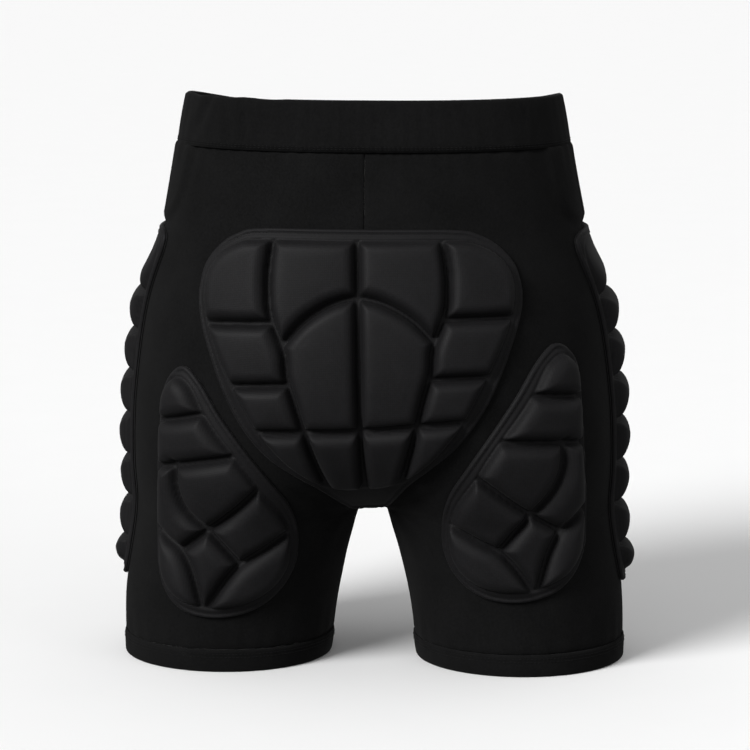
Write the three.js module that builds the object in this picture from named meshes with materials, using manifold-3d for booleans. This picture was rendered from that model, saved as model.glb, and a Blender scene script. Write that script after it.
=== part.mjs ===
// Padded impact shorts, standing on their leg hems as if worn.
// Millimetres. +Z up, the wearer faces +Y, +X is the wearer's right.
import * as THREE from 'three';
import { mergeVertices } from 'three/addons/utils/BufferGeometryUtils.js';
import Module from 'manifold-3d';

const wasm = await Module();
wasm.setup();

// ---- driving dimensions -------------------------------------------------
const legLength = 124;           // hem to crotch
const rise = 329.5;             // crotch to the back of the waist
const frontDrop = 22;           // how much lower the waist is in front
const dropSharpness = 4;        // higher keeps the waist level further forward

const waistHalfWidth = 146.5;
const waistBackDepth = 97;
const waistFrontDepth = 90;
const hipHalfWidth = 181;
const hipBackDepth = 128;
const hipFrontDepth = 100;
const thighHalfWidth = 194;     // half width over both thighs, just above the crotch
const torsoSquareness = 2.35;   // exponent of the torso's section, 2 is an ellipse
const marchStep = 8;            // in the search for the form's surface, less than the gap between the legs

const hemCentreX = 118;         // middle of a leg opening
const hemHalfWidth = 83;
const hemHalfDepth = 82;
const crotchGap = 20;           // space between the legs at the crotch
const crotchLegHalfWidth = 90;
const crotchLegHalfDepth = 93;
const blendHeight = 97;         // over which the two legs merge into the torso
const bridgeHalfWidth = 20;     // the cloth spans this flat between the thighs
const bridgeStart = 8;          // below the crotch where the legs begin to join, and the height
const bridgeHeight = 14;        // over which they do

const clothThickness = 1.6;     // knitted shell
const seamGap = 0.3;            // between any two pieces that meet
const gussetTaper = 62;         // height over which the gusset narrows to nothing
const gussetTip = 2.2;          // half width at which the gusset ends
const gussetClearance = 1;      // gusset edge to panel edge, both are curved

const bandHeight = 39.5;        // waistband
const bandCloth = 1.2;
const elasticThickness = 1.9;
const elasticInset = 3;         // elastic edge to waistband edge
const hemHeight = 18;
const hemThickness = 3;

const padStandoff = 1;          // shell to pad, both are faceted
const padClothThickness = 1.7;  // backing that a pad's blocks are sewn to
const blockDepth = 9.5;         // seat and thigh foam blocks
const channelWidth = 3;         // sewn channel between two blocks
const flangeWidth = 8;          // bare rim of the side pads
const padGrid = 18;             // size of a pad's facets

const seatPadRise = 232;        // crotch to the seat pad's top edge
const seatLean = 0.025;         // its top leans this much towards the wearer's left
const seatPivot = 206;          // about a point this far below its top
const seatTurn = 0.00042;       // its rows drop to the left, more so further down
const thighPadX = 123.5;        // star point of a thigh pad
const thighPadRise = 3.5;       // and its height over the crotch
const thighShift = 2.5;         // both thigh pads sit this far towards the wearer's right
const thighHang = 0.069;        // and the left one hangs lower

const sidePadRise = 221;        // crotch to the side pad's top edge
const sidePadLift = 44;         // hem to its bottom edge
const sidePadTopRear = -46;     // rear edge of the side pad, at its top and at its foot
const sidePadFootRear = -24;
const sidePadTopFront = 50;
const sidePadFootFront = 42;
const sideTopLump = 38;         // height of the first lump, the others share the rest
const sideTopTaper = 0.2;       // share of the depth that the first lump starts with
const sideLumps = 8;
const sideRidge = 11;           // foam depth at a lump's crest and in the valleys
const sideValley = 5.5;
const sideStandoff = 0.9;       // backing to foam, both are faceted

const hipPadDrop = 12;          // waistband to hip pad
const hipPadHeight = 52;
const hipPadRear = -57;
const hipPadFront = 38;
const hipPadThickness = 6;
const hipPadStandoff = 1.2;     // shell to hip pad, both are faceted

const labelWidth = 30;
const labelHeight = 42;
const labelThickness = 0.6;
const labelStandoff = 1.6;      // shell to label, both are faceted

const blackKnit = { color: 0x1b1b1c, roughness: 0.92, metalness: 0 };
const blackRib = { color: 0x202022, roughness: 0.85, metalness: 0 };
const padFace = { color: 0x2b2a2c, roughness: 0.6, metalness: 0 };
const padBack = { color: 0x1e1e20, roughness: 0.8, metalness: 0 };
const foamGrey = { color: 0x46464a, roughness: 0.9, metalness: 0 };
const elasticWhite = { color: 0xd8d8d4, roughness: 0.8, metalness: 0 };
const labelWhite = { color: 0xe6e5e0, roughness: 0.7, metalness: 0 };

// ---- the worn form ------------------------------------------------------
const crotch = legLength;
const waistTop = legLength + rise;
const seatPadTop = legLength + seatPadRise;
const thighPadZ = legLength + thighPadRise;
const sidePadTop = legLength + sidePadRise;
const sidePadBottom = hemHeight + sidePadLift;
const hipPadTop = waistTop - bandHeight - hipPadDrop;
const hipPadBottom = hipPadTop - hipPadHeight;

// height, half width, depth behind, depth in front
const hipLine = crotch + 154;
const bandLine = waistTop - 45;
const torsoStations = [
  [0, thighHalfWidth, hipBackDepth - 10, hipFrontDepth - 8],
  [crotch + 24, thighHalfWidth, hipBackDepth - 9, hipFrontDepth - 8],
  [crotch + 94, (thighHalfWidth + hipHalfWidth) / 2 + 1.5, hipBackDepth + 3, hipFrontDepth - 3],
  [hipLine, hipHalfWidth, hipBackDepth, hipFrontDepth],
  [(hipLine + bandLine) / 2 + 3, hipHalfWidth - 12, hipBackDepth - 14, hipFrontDepth],
  [bandLine, waistHalfWidth + 8, waistBackDepth + 7, waistFrontDepth + 5],
  [waistTop, waistHalfWidth, waistBackDepth, waistFrontDepth],
];

// height, centre x, half width, centre y, half depth
const crotchLegX = crotchGap / 2 + crotchLegHalfWidth;
const legStations = [
  [0, hemCentreX, hemHalfWidth, -2, hemHalfDepth],
  [crotch - 71, hemCentreX - 4, hemHalfWidth + 3, -3, hemHalfDepth + 4],
  [crotch, crotchLegX, crotchLegHalfWidth, -4, crotchLegHalfDepth],
  [crotch + 34, crotchLegX - 6, crotchLegHalfWidth + 6, -8, crotchLegHalfDepth + 9],
  [crotch + 94, crotchLegX - 9, crotchLegHalfWidth + 6, -14, crotchLegHalfDepth + 19],
  [waistTop, crotchLegX - 9, crotchLegHalfWidth + 6, -14, crotchLegHalfDepth + 19],
];

const slopeBetween = (a, b) => a.map((value, k) => (b[k] - value) / (b[0] - a[0]));

// Smooth curve through the stations at height z.
function atHeight(stations, z) {
  const last = stations.length - 1;
  const height = THREE.MathUtils.clamp(z, stations[0][0], stations[last][0]);
  let i = 0;
  while (i < last - 1 && height > stations[i + 1][0]) i += 1;
  const [a, b] = [stations[i], stations[i + 1]];
  const here = slopeBetween(a, b);
  const before = i > 0 ? slopeBetween(stations[i - 1], a) : here;
  const after = i < last - 1 ? slopeBetween(b, stations[i + 2]) : here;
  const span = b[0] - a[0];
  const t = (height - a[0]) / span;
  return a.map((value, k) => {
    const slopeA = span * (before[k] + here[k]) / 2;
    const slopeB = span * (here[k] + after[k]) / 2;
    return (2 * t ** 3 - 3 * t ** 2 + 1) * value + (t ** 3 - 2 * t ** 2 + t) * slopeA
      + (3 * t ** 2 - 2 * t ** 3) * b[k] + (t ** 3 - t ** 2) * slopeB;
  });
}

// Below zero inside the worn form, about the distance to it near its surface.
function formValue(x, y, z) {
  const [, legX, legW, legY, legD] = atHeight(legStations, z);
  const joined = THREE.MathUtils.smoothstep(z, crotch - bridgeStart, crotch - bridgeStart + bridgeHeight);
  const across = (x ** 4 + (bridgeHalfWidth * joined) ** 4) ** 0.25;
  const leg = (Math.hypot((across - legX) / legW, (y - legY) / legD) - 1) * (legW + legD) / 2;
  const [, halfWidth, back, front] = atHeight(torsoStations, z);
  const depth = y < 0 ? back : front;
  const power = torsoSquareness;
  const reach = ((across / halfWidth) ** power + (Math.abs(y) / depth) ** power) ** (1 / power);
  const torso = (reach - 1) * (halfWidth + depth) / 2;
  const merge = THREE.MathUtils.smoothstep(z, crotch, crotch + blendHeight);
  return (1 - merge) * leg + merge * torso;
}

function formNormal(p) {
  const step = 0.5;
  const along = (axis) => {
    const [a, b] = [p.clone(), p.clone()];
    a[axis] += step;
    b[axis] -= step;
    return formValue(a.x, a.y, a.z) - formValue(b.x, b.y, b.z);
  };
  return new THREE.Vector3(along('x'), along('y'), along('z')).normalize();
}

const offForm = (p, distance) => p.clone().addScaledVector(formNormal(p), distance);

// First point of the form's surface from `inside` along `direction`.
function rayToForm(inside, direction) {
  const at = (distance) => inside.clone().addScaledVector(direction, distance);
  const isInside = (p) => formValue(p.x, p.y, p.z) < 0;
  let near = 0;
  while (near < 400 && isInside(at(near + marchStep))) near += marchStep;
  let far = near + marchStep;
  for (let pass = 0; pass < 16; pass += 1) {
    const middle = (near + far) / 2;
    if (isInside(at(middle))) near = middle;
    else far = middle;
  }
  return at(near);
}

const legCentreAt = (z) => {
  const [, x, , y] = atHeight(legStations, z);
  return [x, y];
};
const backOfForm = (x, z) => {
  const start = new THREE.Vector3(x, legCentreAt(z)[1], z);
  return rayToForm(start, new THREE.Vector3(0, -1, 0));
};
const sideOfForm = (side, y, z) => {
  const start = new THREE.Vector3(side * legCentreAt(z)[0], y, z);
  return rayToForm(start, new THREE.Vector3(side, 0, 0));
};

// The waist dips towards the front.
function waistDip(y) {
  const forward = (y + waistBackDepth) / (waistBackDepth + waistFrontDepth);
  return frontDrop * THREE.MathUtils.clamp(forward, 0, 1) ** dropSharpness;
}

// ---- solid builders -----------------------------------------------------
function solidGeometry(points, triangles) {
  const geometry = new THREE.BufferGeometry();
  geometry.setAttribute('position', new THREE.Float32BufferAttribute(points.flatMap((p) => p.toArray()), 3));
  let volume = 0;
  for (const [a, b, c] of triangles) {
    volume += points[a].dot(points[b].clone().cross(points[c]));
  }
  const outward = volume > 0 ? triangles : triangles.map(([a, b, c]) => [a, c, b]);
  geometry.setIndex(outward.flat());
  return geometry;
}

// A curved slab: pointAt(u, v, face) gives its outer face (0) and its inner face (1).
function slab(columns, rows, pointAt) {
  const points = [];
  const triangles = [];
  const index = (i, j, face) => (face * (rows + 1) + j) * (columns + 1) + i;
  for (const face of [0, 1]) {
    for (let j = 0; j <= rows; j += 1) {
      for (let i = 0; i <= columns; i += 1) points.push(pointAt(i / columns, j / rows, face));
    }
  }
  const quad = (a, b, c, d) => triangles.push([a, b, c], [a, c, d]);
  for (let j = 0; j < rows; j += 1) {
    for (let i = 0; i < columns; i += 1) {
      quad(index(i, j, 0), index(i + 1, j, 0), index(i + 1, j + 1, 0), index(i, j + 1, 0));
      quad(index(i, j, 1), index(i, j + 1, 1), index(i + 1, j + 1, 1), index(i + 1, j, 1));
    }
    quad(index(0, j, 1), index(0, j, 0), index(0, j + 1, 0), index(0, j + 1, 1));
    quad(index(columns, j, 0), index(columns, j, 1), index(columns, j + 1, 1), index(columns, j + 1, 0));
  }
  for (let i = 0; i < columns; i += 1) {
    quad(index(i, 0, 1), index(i + 1, 0, 1), index(i + 1, 0, 0), index(i, 0, 0));
    quad(index(i, rows, 0), index(i + 1, rows, 0), index(i + 1, rows, 1), index(i, rows, 1));
  }
  return solidGeometry(points, triangles);
}

// A closed hoop: pointAt(turn, corner) walks a section of `corners` points round the form.
function hoop(turns, corners, pointAt) {
  const points = [];
  const triangles = [];
  for (let i = 0; i < turns; i += 1) {
    for (let k = 0; k < corners; k += 1) points.push(pointAt(i / turns, k));
  }
  const index = (i, k) => (i % turns) * corners + (k % corners);
  for (let i = 0; i < turns; i += 1) {
    for (let k = 0; k < corners; k += 1) {
      triangles.push([index(i, k), index(i + 1, k), index(i + 1, k + 1)]);
      triangles.push([index(i, k), index(i + 1, k + 1), index(i, k + 1)]);
    }
  }
  return solidGeometry(points, triangles);
}

function manifoldOf(geometry) {
  const bare = geometry.clone();
  bare.deleteAttribute('normal');
  bare.deleteAttribute('uv');
  const merged = mergeVertices(bare, 1e-4);
  const triVerts = Uint32Array.from(merged.getIndex().array);
  return new wasm.Manifold(new wasm.Mesh({
    numProp: 3, vertProperties: Float32Array.from(merged.getAttribute('position').array), triVerts,
  }));
}

function geometryOf(manifold) {
  const mesh = manifold.getMesh();
  const geometry = new THREE.BufferGeometry();
  geometry.setAttribute('position', new THREE.Float32BufferAttribute(mesh.vertProperties, 3));
  geometry.setIndex(Array.from(mesh.triVerts));
  return geometry;
}

const shorts = new THREE.Group();
shorts.name = 'padded_impact_shorts';

function addPiece(name, geometry, finish) {
  const mesh = new THREE.Mesh(geometry, new THREE.MeshStandardMaterial(finish));
  mesh.name = name;
  shorts.add(mesh);
}

const sideName = (side) => (side < 0 ? 'left' : 'right');

// ---- shell panels -------------------------------------------------------
// Half the gap between the left and right panels: the gusset fills it at the crotch.
function centreGap(z) {
  const left = 1 - (z - crotch) / gussetTaper;
  return Math.max(crotchGap / 2 * THREE.MathUtils.clamp(left, 0, 1), seamGap / 2);
}

// Angle about the leg's centre, from the side seam, where a panel ends at height z.
function panelEndAngle(z, facing) {
  const [legX, legY] = legCentreAt(z);
  let low = 0;
  let high = Math.PI - 0.5 * seamGap / crotchLegHalfWidth;
  for (let pass = 0; pass < 18; pass += 1) {
    const angle = (low + high) / 2;
    const direction = new THREE.Vector3(Math.cos(angle), facing * Math.sin(angle), 0);
    const p = rayToForm(new THREE.Vector3(legX, legY, z), direction);
    if (p.x > centreGap(z)) low = angle;
    else high = angle;
  }
  return low;
}

// Row heights of a panel under a level waist, closer together where the crotch curves.
function panelHeights() {
  const foot = hemHeight + seamGap;
  const top = waistTop - bandHeight;
  const [below, arch, above] = [4, 10, 7];
  const heights = [];
  const archFoot = crotch - bridgeStart / 2;
  for (let i = 0; i < below; i += 1) heights.push(foot + (archFoot - foot) * i / below);
  const archHeight = crotch + gussetTaper - archFoot;
  for (let i = 0; i < arch; i += 1) heights.push(archFoot + archHeight * (i / arch) ** 1.8);
  for (let i = 0; i <= above; i += 1) heights.push(crotch + gussetTaper + (top - crotch - gussetTaper) * i / above);
  return heights;
}
const panelRows = panelHeights();

function panelPoint(side, facing, u, row) {
  const top = panelRows[panelRows.length - 1];
  const dipped = Math.max(row - crotch - gussetTaper, 0) / (top - crotch - gussetTaper);
  const start = 0.5 * seamGap / crotchLegHalfWidth;
  let z = row;
  let p;
  for (let pass = 0; pass < (dipped > 0 ? 4 : 1); pass += 1) {
    const [legX, legY] = legCentreAt(z);
    const angle = start + u * (panelEndAngle(z, facing) - start);
    const direction = new THREE.Vector3(Math.cos(angle), facing * Math.sin(angle), 0);
    p = rayToForm(new THREE.Vector3(legX, legY, z), direction);
    z = row - dipped * waistDip(p.y);
  }
  return new THREE.Vector3(side * p.x, p.y, p.z);
}

function panel(side, facing, outer, inner) {
  const rows = panelRows.length - 1;
  return slab(12, rows, (u, v, face) => {
    const p = panelPoint(side, facing, u, panelRows[Math.round(v * rows)]);
    return offForm(p, face === 0 ? outer : inner);
  });
}

for (const side of [-1, 1]) {
  addPiece(`back_panel_${sideName(side)}`, panel(side, -1, 0, -clothThickness), blackKnit);
  addPiece(`front_panel_${sideName(side)}`, panel(side, 1, 0, -clothThickness), blackKnit);
}

// The gusset arches from back to front between the legs, widest at the crotch.
function crotchGusset(clearance, outer, inner) {
  const pivot = new THREE.Vector3(0, -8, crotch + blendHeight);
  const widthAt = (z) => centreGap(z) - clearance;
  const tipHeight = crotch + gussetTaper * (1 - (gussetTip + gussetClearance) / (crotchGap / 2));
  const surfaceAt = (x, angle) => {
    const direction = new THREE.Vector3(0, Math.sin(angle), -Math.cos(angle));
    return rayToForm(pivot.clone().setX(x), direction);
  };
  const tipAngle = (facing) => {
    let low = 0;
    let high = Math.PI / 2;
    for (let pass = 0; pass < 18; pass += 1) {
      const angle = (low + high) / 2;
      if (surfaceAt(gussetTip, facing * angle).z < tipHeight) low = angle;
      else high = angle;
    }
    return facing * low;
  };
  const [back, front] = [tipAngle(-1), tipAngle(1)];
  return slab(4, 18, (u, v, face) => {
    const angle = back + v * (front - back);
    let p = surfaceAt(0, angle);
    for (let pass = 0; pass < 8; pass += 1) p = surfaceAt((2 * u - 1) * widthAt(p.z), angle);
    return offForm(p, face === 0 ? outer : inner);
  });
}
addPiece('crotch_gusset', crotchGusset(gussetClearance, 0, -clothThickness), blackKnit);

// The shell grown by one gap: what a pad sewn onto it is trimmed with.
const trimDepth = -2 * clothThickness;
const grownShell = [-1, 1].flatMap((side) => [-1, 1].map((facing) => panel(side, facing, seamGap, trimDepth)));
grownShell.push(crotchGusset(-gussetClearance, seamGap, trimDepth));
const trimmers = grownShell.map(manifoldOf);

function trimmedToShell(solid) {
  const trimmed = trimmers.reduce((left, trimmer) => left.subtract(trimmer), solid);
  return trimmed.decompose().sort((a, b) => b.volume() - a.volume())[0];
}

// ---- leg hems -----------------------------------------------------------
function legHem(side) {
  const centre = new THREE.Vector3(...legCentreAt(0), 0);
  const corners = [[0.4, 0], [0.4, hemHeight], [0.4 - hemThickness, hemHeight], [0.4 - hemThickness, 0]];
  return hoop(32, corners.length, (turn, k) => {
    const angle = turn * 2 * Math.PI;
    const [offset, z] = corners[k];
    const p = rayToForm(centre.clone().setZ(z), new THREE.Vector3(Math.cos(angle), Math.sin(angle), 0));
    const outward = formNormal(p).setZ(0).normalize();
    p.addScaledVector(outward, offset);
    return new THREE.Vector3(side * p.x, p.y, z);
  });
}
for (const side of [-1, 1]) addPiece(`leg_hem_${sideName(side)}`, legHem(side), blackRib);

// ---- waistband and its elastic -----------------------------------------
function waistHoop(corners) {
  const centre = new THREE.Vector3(0, 0, waistTop - bandHeight / 2);
  return hoop(44, corners.length, (turn, k) => {
    const angle = turn * 2 * Math.PI;
    const [offset, below] = corners[k];
    const direction = new THREE.Vector3(Math.cos(angle), Math.sin(angle), 0);
    const start = rayToForm(centre, direction);
    const z = waistTop - waistDip(start.y) - below;
    const p = rayToForm(centre.clone().setZ(z), direction);
    p.addScaledVector(formNormal(p).setZ(0).normalize(), offset);
    return p;
  });
}

const bandInside = -(elasticThickness + 2 * seamGap);
addPiece('waistband', waistHoop([
  [bandCloth, bandHeight - seamGap], [bandCloth, 0.8], [bandCloth - 0.8, 0],
  [bandInside - bandCloth + 0.8, 0], [bandInside - bandCloth, 0.8], [bandInside - bandCloth, bandHeight - seamGap],
  [bandInside, bandHeight - seamGap], [bandInside, bandCloth], [0, bandCloth], [0, bandHeight - seamGap],
]), blackRib);
addPiece('waist_elastic', waistHoop([
  [-seamGap, bandHeight - elasticInset], [-seamGap, elasticInset],
  [bandInside + seamGap, elasticInset], [bandInside + seamGap, bandHeight - elasticInset],
]), elasticWhite);

// ---- care label, hanging inside the back of the waist -------------------
const labelTop = waistTop - bandHeight - 5;
addPiece('care_label', slab(2, 5, (u, v, face) => {
  const p = backOfForm(labelWidth * (u - 0.5), labelTop - labelHeight * (1 - v));
  return offForm(p, -clothThickness - labelStandoff - face * labelThickness);
}), labelWhite);

// ---- pads on the rear: shared tools -------------------------------------
// Moves every side of an outline inwards by `inset`.
function insetOutline(outline, inset) {
  const turn = Math.sign(THREE.ShapeUtils.area(outline));
  const count = outline.length;
  const edge = (i) => {
    const along = outline[(i + 1) % count].clone().sub(outline[i]).normalize();
    const inward = new THREE.Vector2(-along.y, along.x).multiplyScalar(turn);
    return { along, start: outline[i].clone().addScaledVector(inward, inset) };
  };
  return outline.map((corner, i) => {
    const [a, b] = [edge((i + count - 1) % count), edge(i)];
    const cross = a.along.cross(b.along);
    if (Math.abs(cross) < 0.05) return b.start;
    const distance = b.start.clone().sub(a.start).cross(b.along) / cross;
    return a.start.clone().addScaledVector(a.along, distance);
  });
}

// Pattern points are [outward from the pad's middle, height]; a pad's place turns them into x and z.
const seatPlace = (side) => ([outward, down]) => new THREE.Vector2(
  side * outward - seatLean * (seatPivot - down),
  seatPadTop - down * (1 - seatTurn * side * outward),
);
const thighPlace = (side) => ([inboard, up]) => {
  const x = side * (thighPadX - inboard) + thighShift;
  return new THREE.Vector2(x, thighPadZ + up + thighHang * x);
};

// A slab over the whole area of a rear pad, between two distances off the form.
function padLayer(outline, from, to) {
  const xs = outline.map((p) => p.x);
  const zs = outline.map((p) => p.y);
  const [x0, x1] = [Math.min(...xs) - 1, Math.max(...xs) + 1];
  const [z0, z1] = [Math.min(...zs) - 1, Math.max(...zs) + 1];
  const columns = Math.ceil((x1 - x0) / padGrid);
  const rows = Math.ceil((z1 - z0) / padGrid);
  return manifoldOf(slab(columns, rows, (u, v, face) => {
    const p = backOfForm(x0 + u * (x1 - x0), z0 + v * (z1 - z0));
    return offForm(p, face === 0 ? to : from);
  }));
}

// The part of a layer inside an outline, cut straight from back to front.
function cutFromLayer(layer, outline) {
  const shape = new THREE.Shape(outline);
  const prism = new THREE.ExtrudeGeometry(shape, { depth: 2 * hipBackDepth, bevelEnabled: false });
  prism.rotateX(Math.PI / 2);
  const pieces = layer.intersect(manifoldOf(prism)).decompose();
  return pieces.sort((a, b) => b.volume() - a.volume())[0];
}

// A rear pad: its backing, then its blocks, each kept half a channel inside its cell.
function addRearPad(name, outline, cells, backingName) {
  const backingTop = padStandoff + padClothThickness;
  const backing = cutFromLayer(padLayer(outline, padStandoff, backingTop), outline);
  addPiece(backingName, geometryOf(trimmedToShell(backing)), padBack);
  const foam = padLayer(outline, backingTop + seamGap, backingTop + seamGap + blockDepth);
  for (const [cellName, cell] of cells) {
    const block = cutFromLayer(foam, insetOutline(cell, channelWidth / 2));
    addPiece(`${name}_${cellName}`, geometryOf(block), padFace);
  }
}

// ---- seat pad: fourteen blocks in mirrored pairs ------------------------
// Half patterns, [outward, below the pad's top].
const seatOutline = [
  [0, 0], [75, 1], [105, 13], [121, 36], [123, 58], [116, 93], [99, 135], [84, 158], [60, 182], [34, 201],
  [25, 213], [17, 224], [0, 226],
];
const seatCells = {
  top_inner: [[0, 9.5], [63, 9.5], [67, 42], [65, 69], [56, 86], [32, 62], [0, 51]],
  top_outer: [[63, 9.5], [90, 12.5], [105, 22], [114, 36], [116.5, 54], [113.5, 70], [65, 69], [67, 42]],
  side_upper: [[65, 69], [113.5, 70], [105, 97], [96, 115], [54, 114.5], [56, 86]],
  side_lower: [[54, 114.5], [96, 115], [88, 132], [78, 149.5], [43, 149]],
  centre: [[0, 51], [32, 62], [56, 86], [54, 114.5], [43, 149], [0, 149.5]],
  bottom_inner: [[0, 149.5], [43, 149], [28, 197], [0, 198]],
  bottom_outer: [[43, 149], [78, 149.5], [66, 166], [54, 179], [38, 192], [28, 197]],
};

const seatWhole = [
  ...seatOutline.map(seatPlace(1)),
  ...seatOutline.slice(1, -1).reverse().map(seatPlace(-1)),
];
const seatBlocks = [-1, 1].flatMap((side) => Object.entries(seatCells)
  .map(([name, cell]) => [`${name}_${sideName(side)}`, cell.map(seatPlace(side))]));
addRearPad('seat_block', seatWhole, seatBlocks, 'seat_pad_backing');

// ---- thigh pads: eight blocks round a star point ------------------------
// Patterns of one pad, [inboard, above the star point].
const thighOutline = [
  [-20, 129], [-35, 112], [-38, 71], [-41, -4], [-41, -38], [-35, -56], [-18, -70], [7, -73], [35, -68],
  [54, -54], [64, -31], [65, -9], [60, 17], [48, 38], [28, 66], [9, 92], [-6, 119],
];
const thighCells = {
  cap: [[-33, 88], [-1, 93], [-10, 110], [-21, 119], [-33, 106]],
  upper: [[-34, 52], [20, 59], [9, 77], [-1, 93], [-33, 88]],
  shield: [[-22, 53], [-19, 29], [0, 0], [38, 32], [30, 46], [20, 59]],
  outer_strip: [[-34, 52], [-37, 1], [-22, -17], [0, 0], [-19, 29], [-22, 53]],
  inner_diamond: [[0, 0], [21, -29], [55, -6], [48, 14], [38, 32]],
  lower_diamond: [[0, 0], [-22, -17], [-8, -58], [21, -29]],
  outer_crescent: [[-38, 1], [-39, -32], [-32, -52], [-10, -60], [-22, -17]],
  inner_crescent: [[57, -7], [21, -29], [-7, -59], [29, -63], [50, -48], [58, -28]],
};

for (const side of [-1, 1]) {
  const blocks = Object.entries(thighCells)
    .map(([name, cell]) => [`${name}_${sideName(side)}`, cell.map(thighPlace(side))]);
  const outline = thighOutline.map(thighPlace(side));
  addRearPad('thigh_block', outline, blocks, `thigh_pad_backing_${sideName(side)}`);
}

// ---- side pads: a strip of eight lumps down each hip and thigh ----------
const sideShare = (z) => (sidePadTop - z) / (sidePadTop - sidePadBottom);
const roundEnds = (share) => Math.sqrt(Math.max(1 - Math.max(Math.abs(2 * share - 1) - 0.86, 0) ** 2 / 0.14 ** 2, 0));

function sidePadPoint(side, u, z, rim) {
  const share = sideShare(z);
  const rear = THREE.MathUtils.lerp(sidePadTopRear, sidePadFootRear, share) + rim;
  const front = THREE.MathUtils.lerp(sidePadTopFront, sidePadFootFront, share) - rim;
  const narrow = 0.62 + 0.38 * roundEnds(share);
  const y = (rear + front) / 2 + (u - 0.5) * (front - rear) * narrow;
  return sideOfForm(side, y, z);
}

function sideBacking(side) {
  return slab(8, 16, (u, v, face) => {
    const p = sidePadPoint(side, u, sidePadBottom + v * (sidePadTop - sidePadBottom), 0);
    return offForm(p, padStandoff + (1 - face) * padClothThickness);
  });
}

// Foam depth down the strip: full at each lump's crest, thin in the valleys between them.
function sideDepth(down, length) {
  const pitch = (length - sideTopLump) / (sideLumps - 1);
  const lump = down < sideTopLump ? down / sideTopLump : (down - sideTopLump) / pitch;
  const taper = THREE.MathUtils.lerp(sideTopTaper, 1, Math.min(down / sideTopLump, 1));
  return taper * (sideValley + (sideRidge - sideValley) * Math.sqrt(Math.abs(Math.sin(lump * Math.PI))));
}

function sideFoam(side) {
  const high = sidePadTop - flangeWidth;
  const length = high - sidePadBottom - flangeWidth;
  const foot = padStandoff + padClothThickness + sideStandoff;
  const pitch = (length - sideTopLump) / (sideLumps - 1);
  const rowsPerLump = 3;
  const rows = sideLumps * rowsPerLump;
  return slab(6, rows, (u, v, face) => {
    const lumps = v * sideLumps;
    const down = lumps < 1 ? lumps * sideTopLump : sideTopLump + (lumps - 1) * pitch;
    const p = sidePadPoint(side, u, high - down, flangeWidth);
    const edge = Math.sin(THREE.MathUtils.clamp(u, 0.06, 0.94) * Math.PI) ** 0.4;
    return offForm(p, foot + (1 - face) * edge * sideDepth(down, length));
  });
}

for (const side of [-1, 1]) {
  const backing = trimmedToShell(manifoldOf(sideBacking(side)));
  addPiece(`side_pad_backing_${sideName(side)}`, geometryOf(backing), padBack);
  addPiece(`side_pad_foam_${sideName(side)}`, sideFoam(side), padFace);
}

// ---- hip pads: thin foam inside the shell, under the waistband ----------
function hipPad(side) {
  return slab(6, 4, (u, v, face) => {
    const z = hipPadBottom + v * (hipPadTop - hipPadBottom);
    const p = sideOfForm(side, hipPadRear + u * (hipPadFront - hipPadRear), z);
    const crown = Math.min(Math.sin(u * Math.PI), Math.sin(v * Math.PI));
    const depth = hipPadThickness * (0.35 + 0.65 * Math.sqrt(Math.max(crown, 0)));
    return offForm(p, -clothThickness - hipPadStandoff - face * depth);
  });
}
for (const side of [-1, 1]) addPiece(`hip_pad_${sideName(side)}`, hipPad(side), foamGrey);

// The origin is on the floor under the middle of the whole piece.
const extent = new THREE.Box3().setFromObject(shorts);
shorts.position.y = -(extent.min.y + extent.max.y) / 2;

export default shorts;
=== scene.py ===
"""Padded impact shorts, standing on their leg hems as if worn: cloth, foam pads and stitching."""
import math

import bpy
import numpy as np
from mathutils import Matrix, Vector


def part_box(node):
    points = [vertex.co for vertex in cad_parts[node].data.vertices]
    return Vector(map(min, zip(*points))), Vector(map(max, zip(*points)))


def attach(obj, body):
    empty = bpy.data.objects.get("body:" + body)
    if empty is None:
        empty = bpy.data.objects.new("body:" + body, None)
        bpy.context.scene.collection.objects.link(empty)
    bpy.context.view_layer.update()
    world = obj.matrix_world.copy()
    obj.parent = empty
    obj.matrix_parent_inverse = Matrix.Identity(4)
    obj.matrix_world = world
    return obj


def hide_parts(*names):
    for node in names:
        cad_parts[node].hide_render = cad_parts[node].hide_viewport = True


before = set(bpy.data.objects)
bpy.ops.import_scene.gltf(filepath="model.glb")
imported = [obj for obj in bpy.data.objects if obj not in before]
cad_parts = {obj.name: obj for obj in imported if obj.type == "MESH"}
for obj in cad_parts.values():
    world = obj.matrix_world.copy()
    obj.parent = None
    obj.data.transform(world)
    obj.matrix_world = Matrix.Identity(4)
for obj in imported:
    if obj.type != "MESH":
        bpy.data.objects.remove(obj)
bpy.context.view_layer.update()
WAIST_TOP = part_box("waistband")[1][2]
HEM_LOW, HEM_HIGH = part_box("leg_hem_left")

bl_info = {
    "name": "Padded Impact Shorts",
    "version": (1, 0, 0),
    "blender": (4, 5, 0),
    "location": "View3D > Sidebar > Shorts",
    "description": "Builds the fine cloth, pads and stitching of a pair of padded impact shorts",
    "category": "Add Mesh",
}

MM = 0.001


# ---- what a user would change --------------------------------------------------------------
def length(name, millimetres, description):
    return bpy.props.FloatProperty(
        name=name, description=description, default=millimetres * MM, unit="LENGTH", subtype="DISTANCE",
        precision=4,
    )


def colour(name, red, green, blue, description):
    return bpy.props.FloatVectorProperty(
        name=name, description=description, default=(red, green, blue), subtype="COLOR", min=0, max=1
    )


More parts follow.
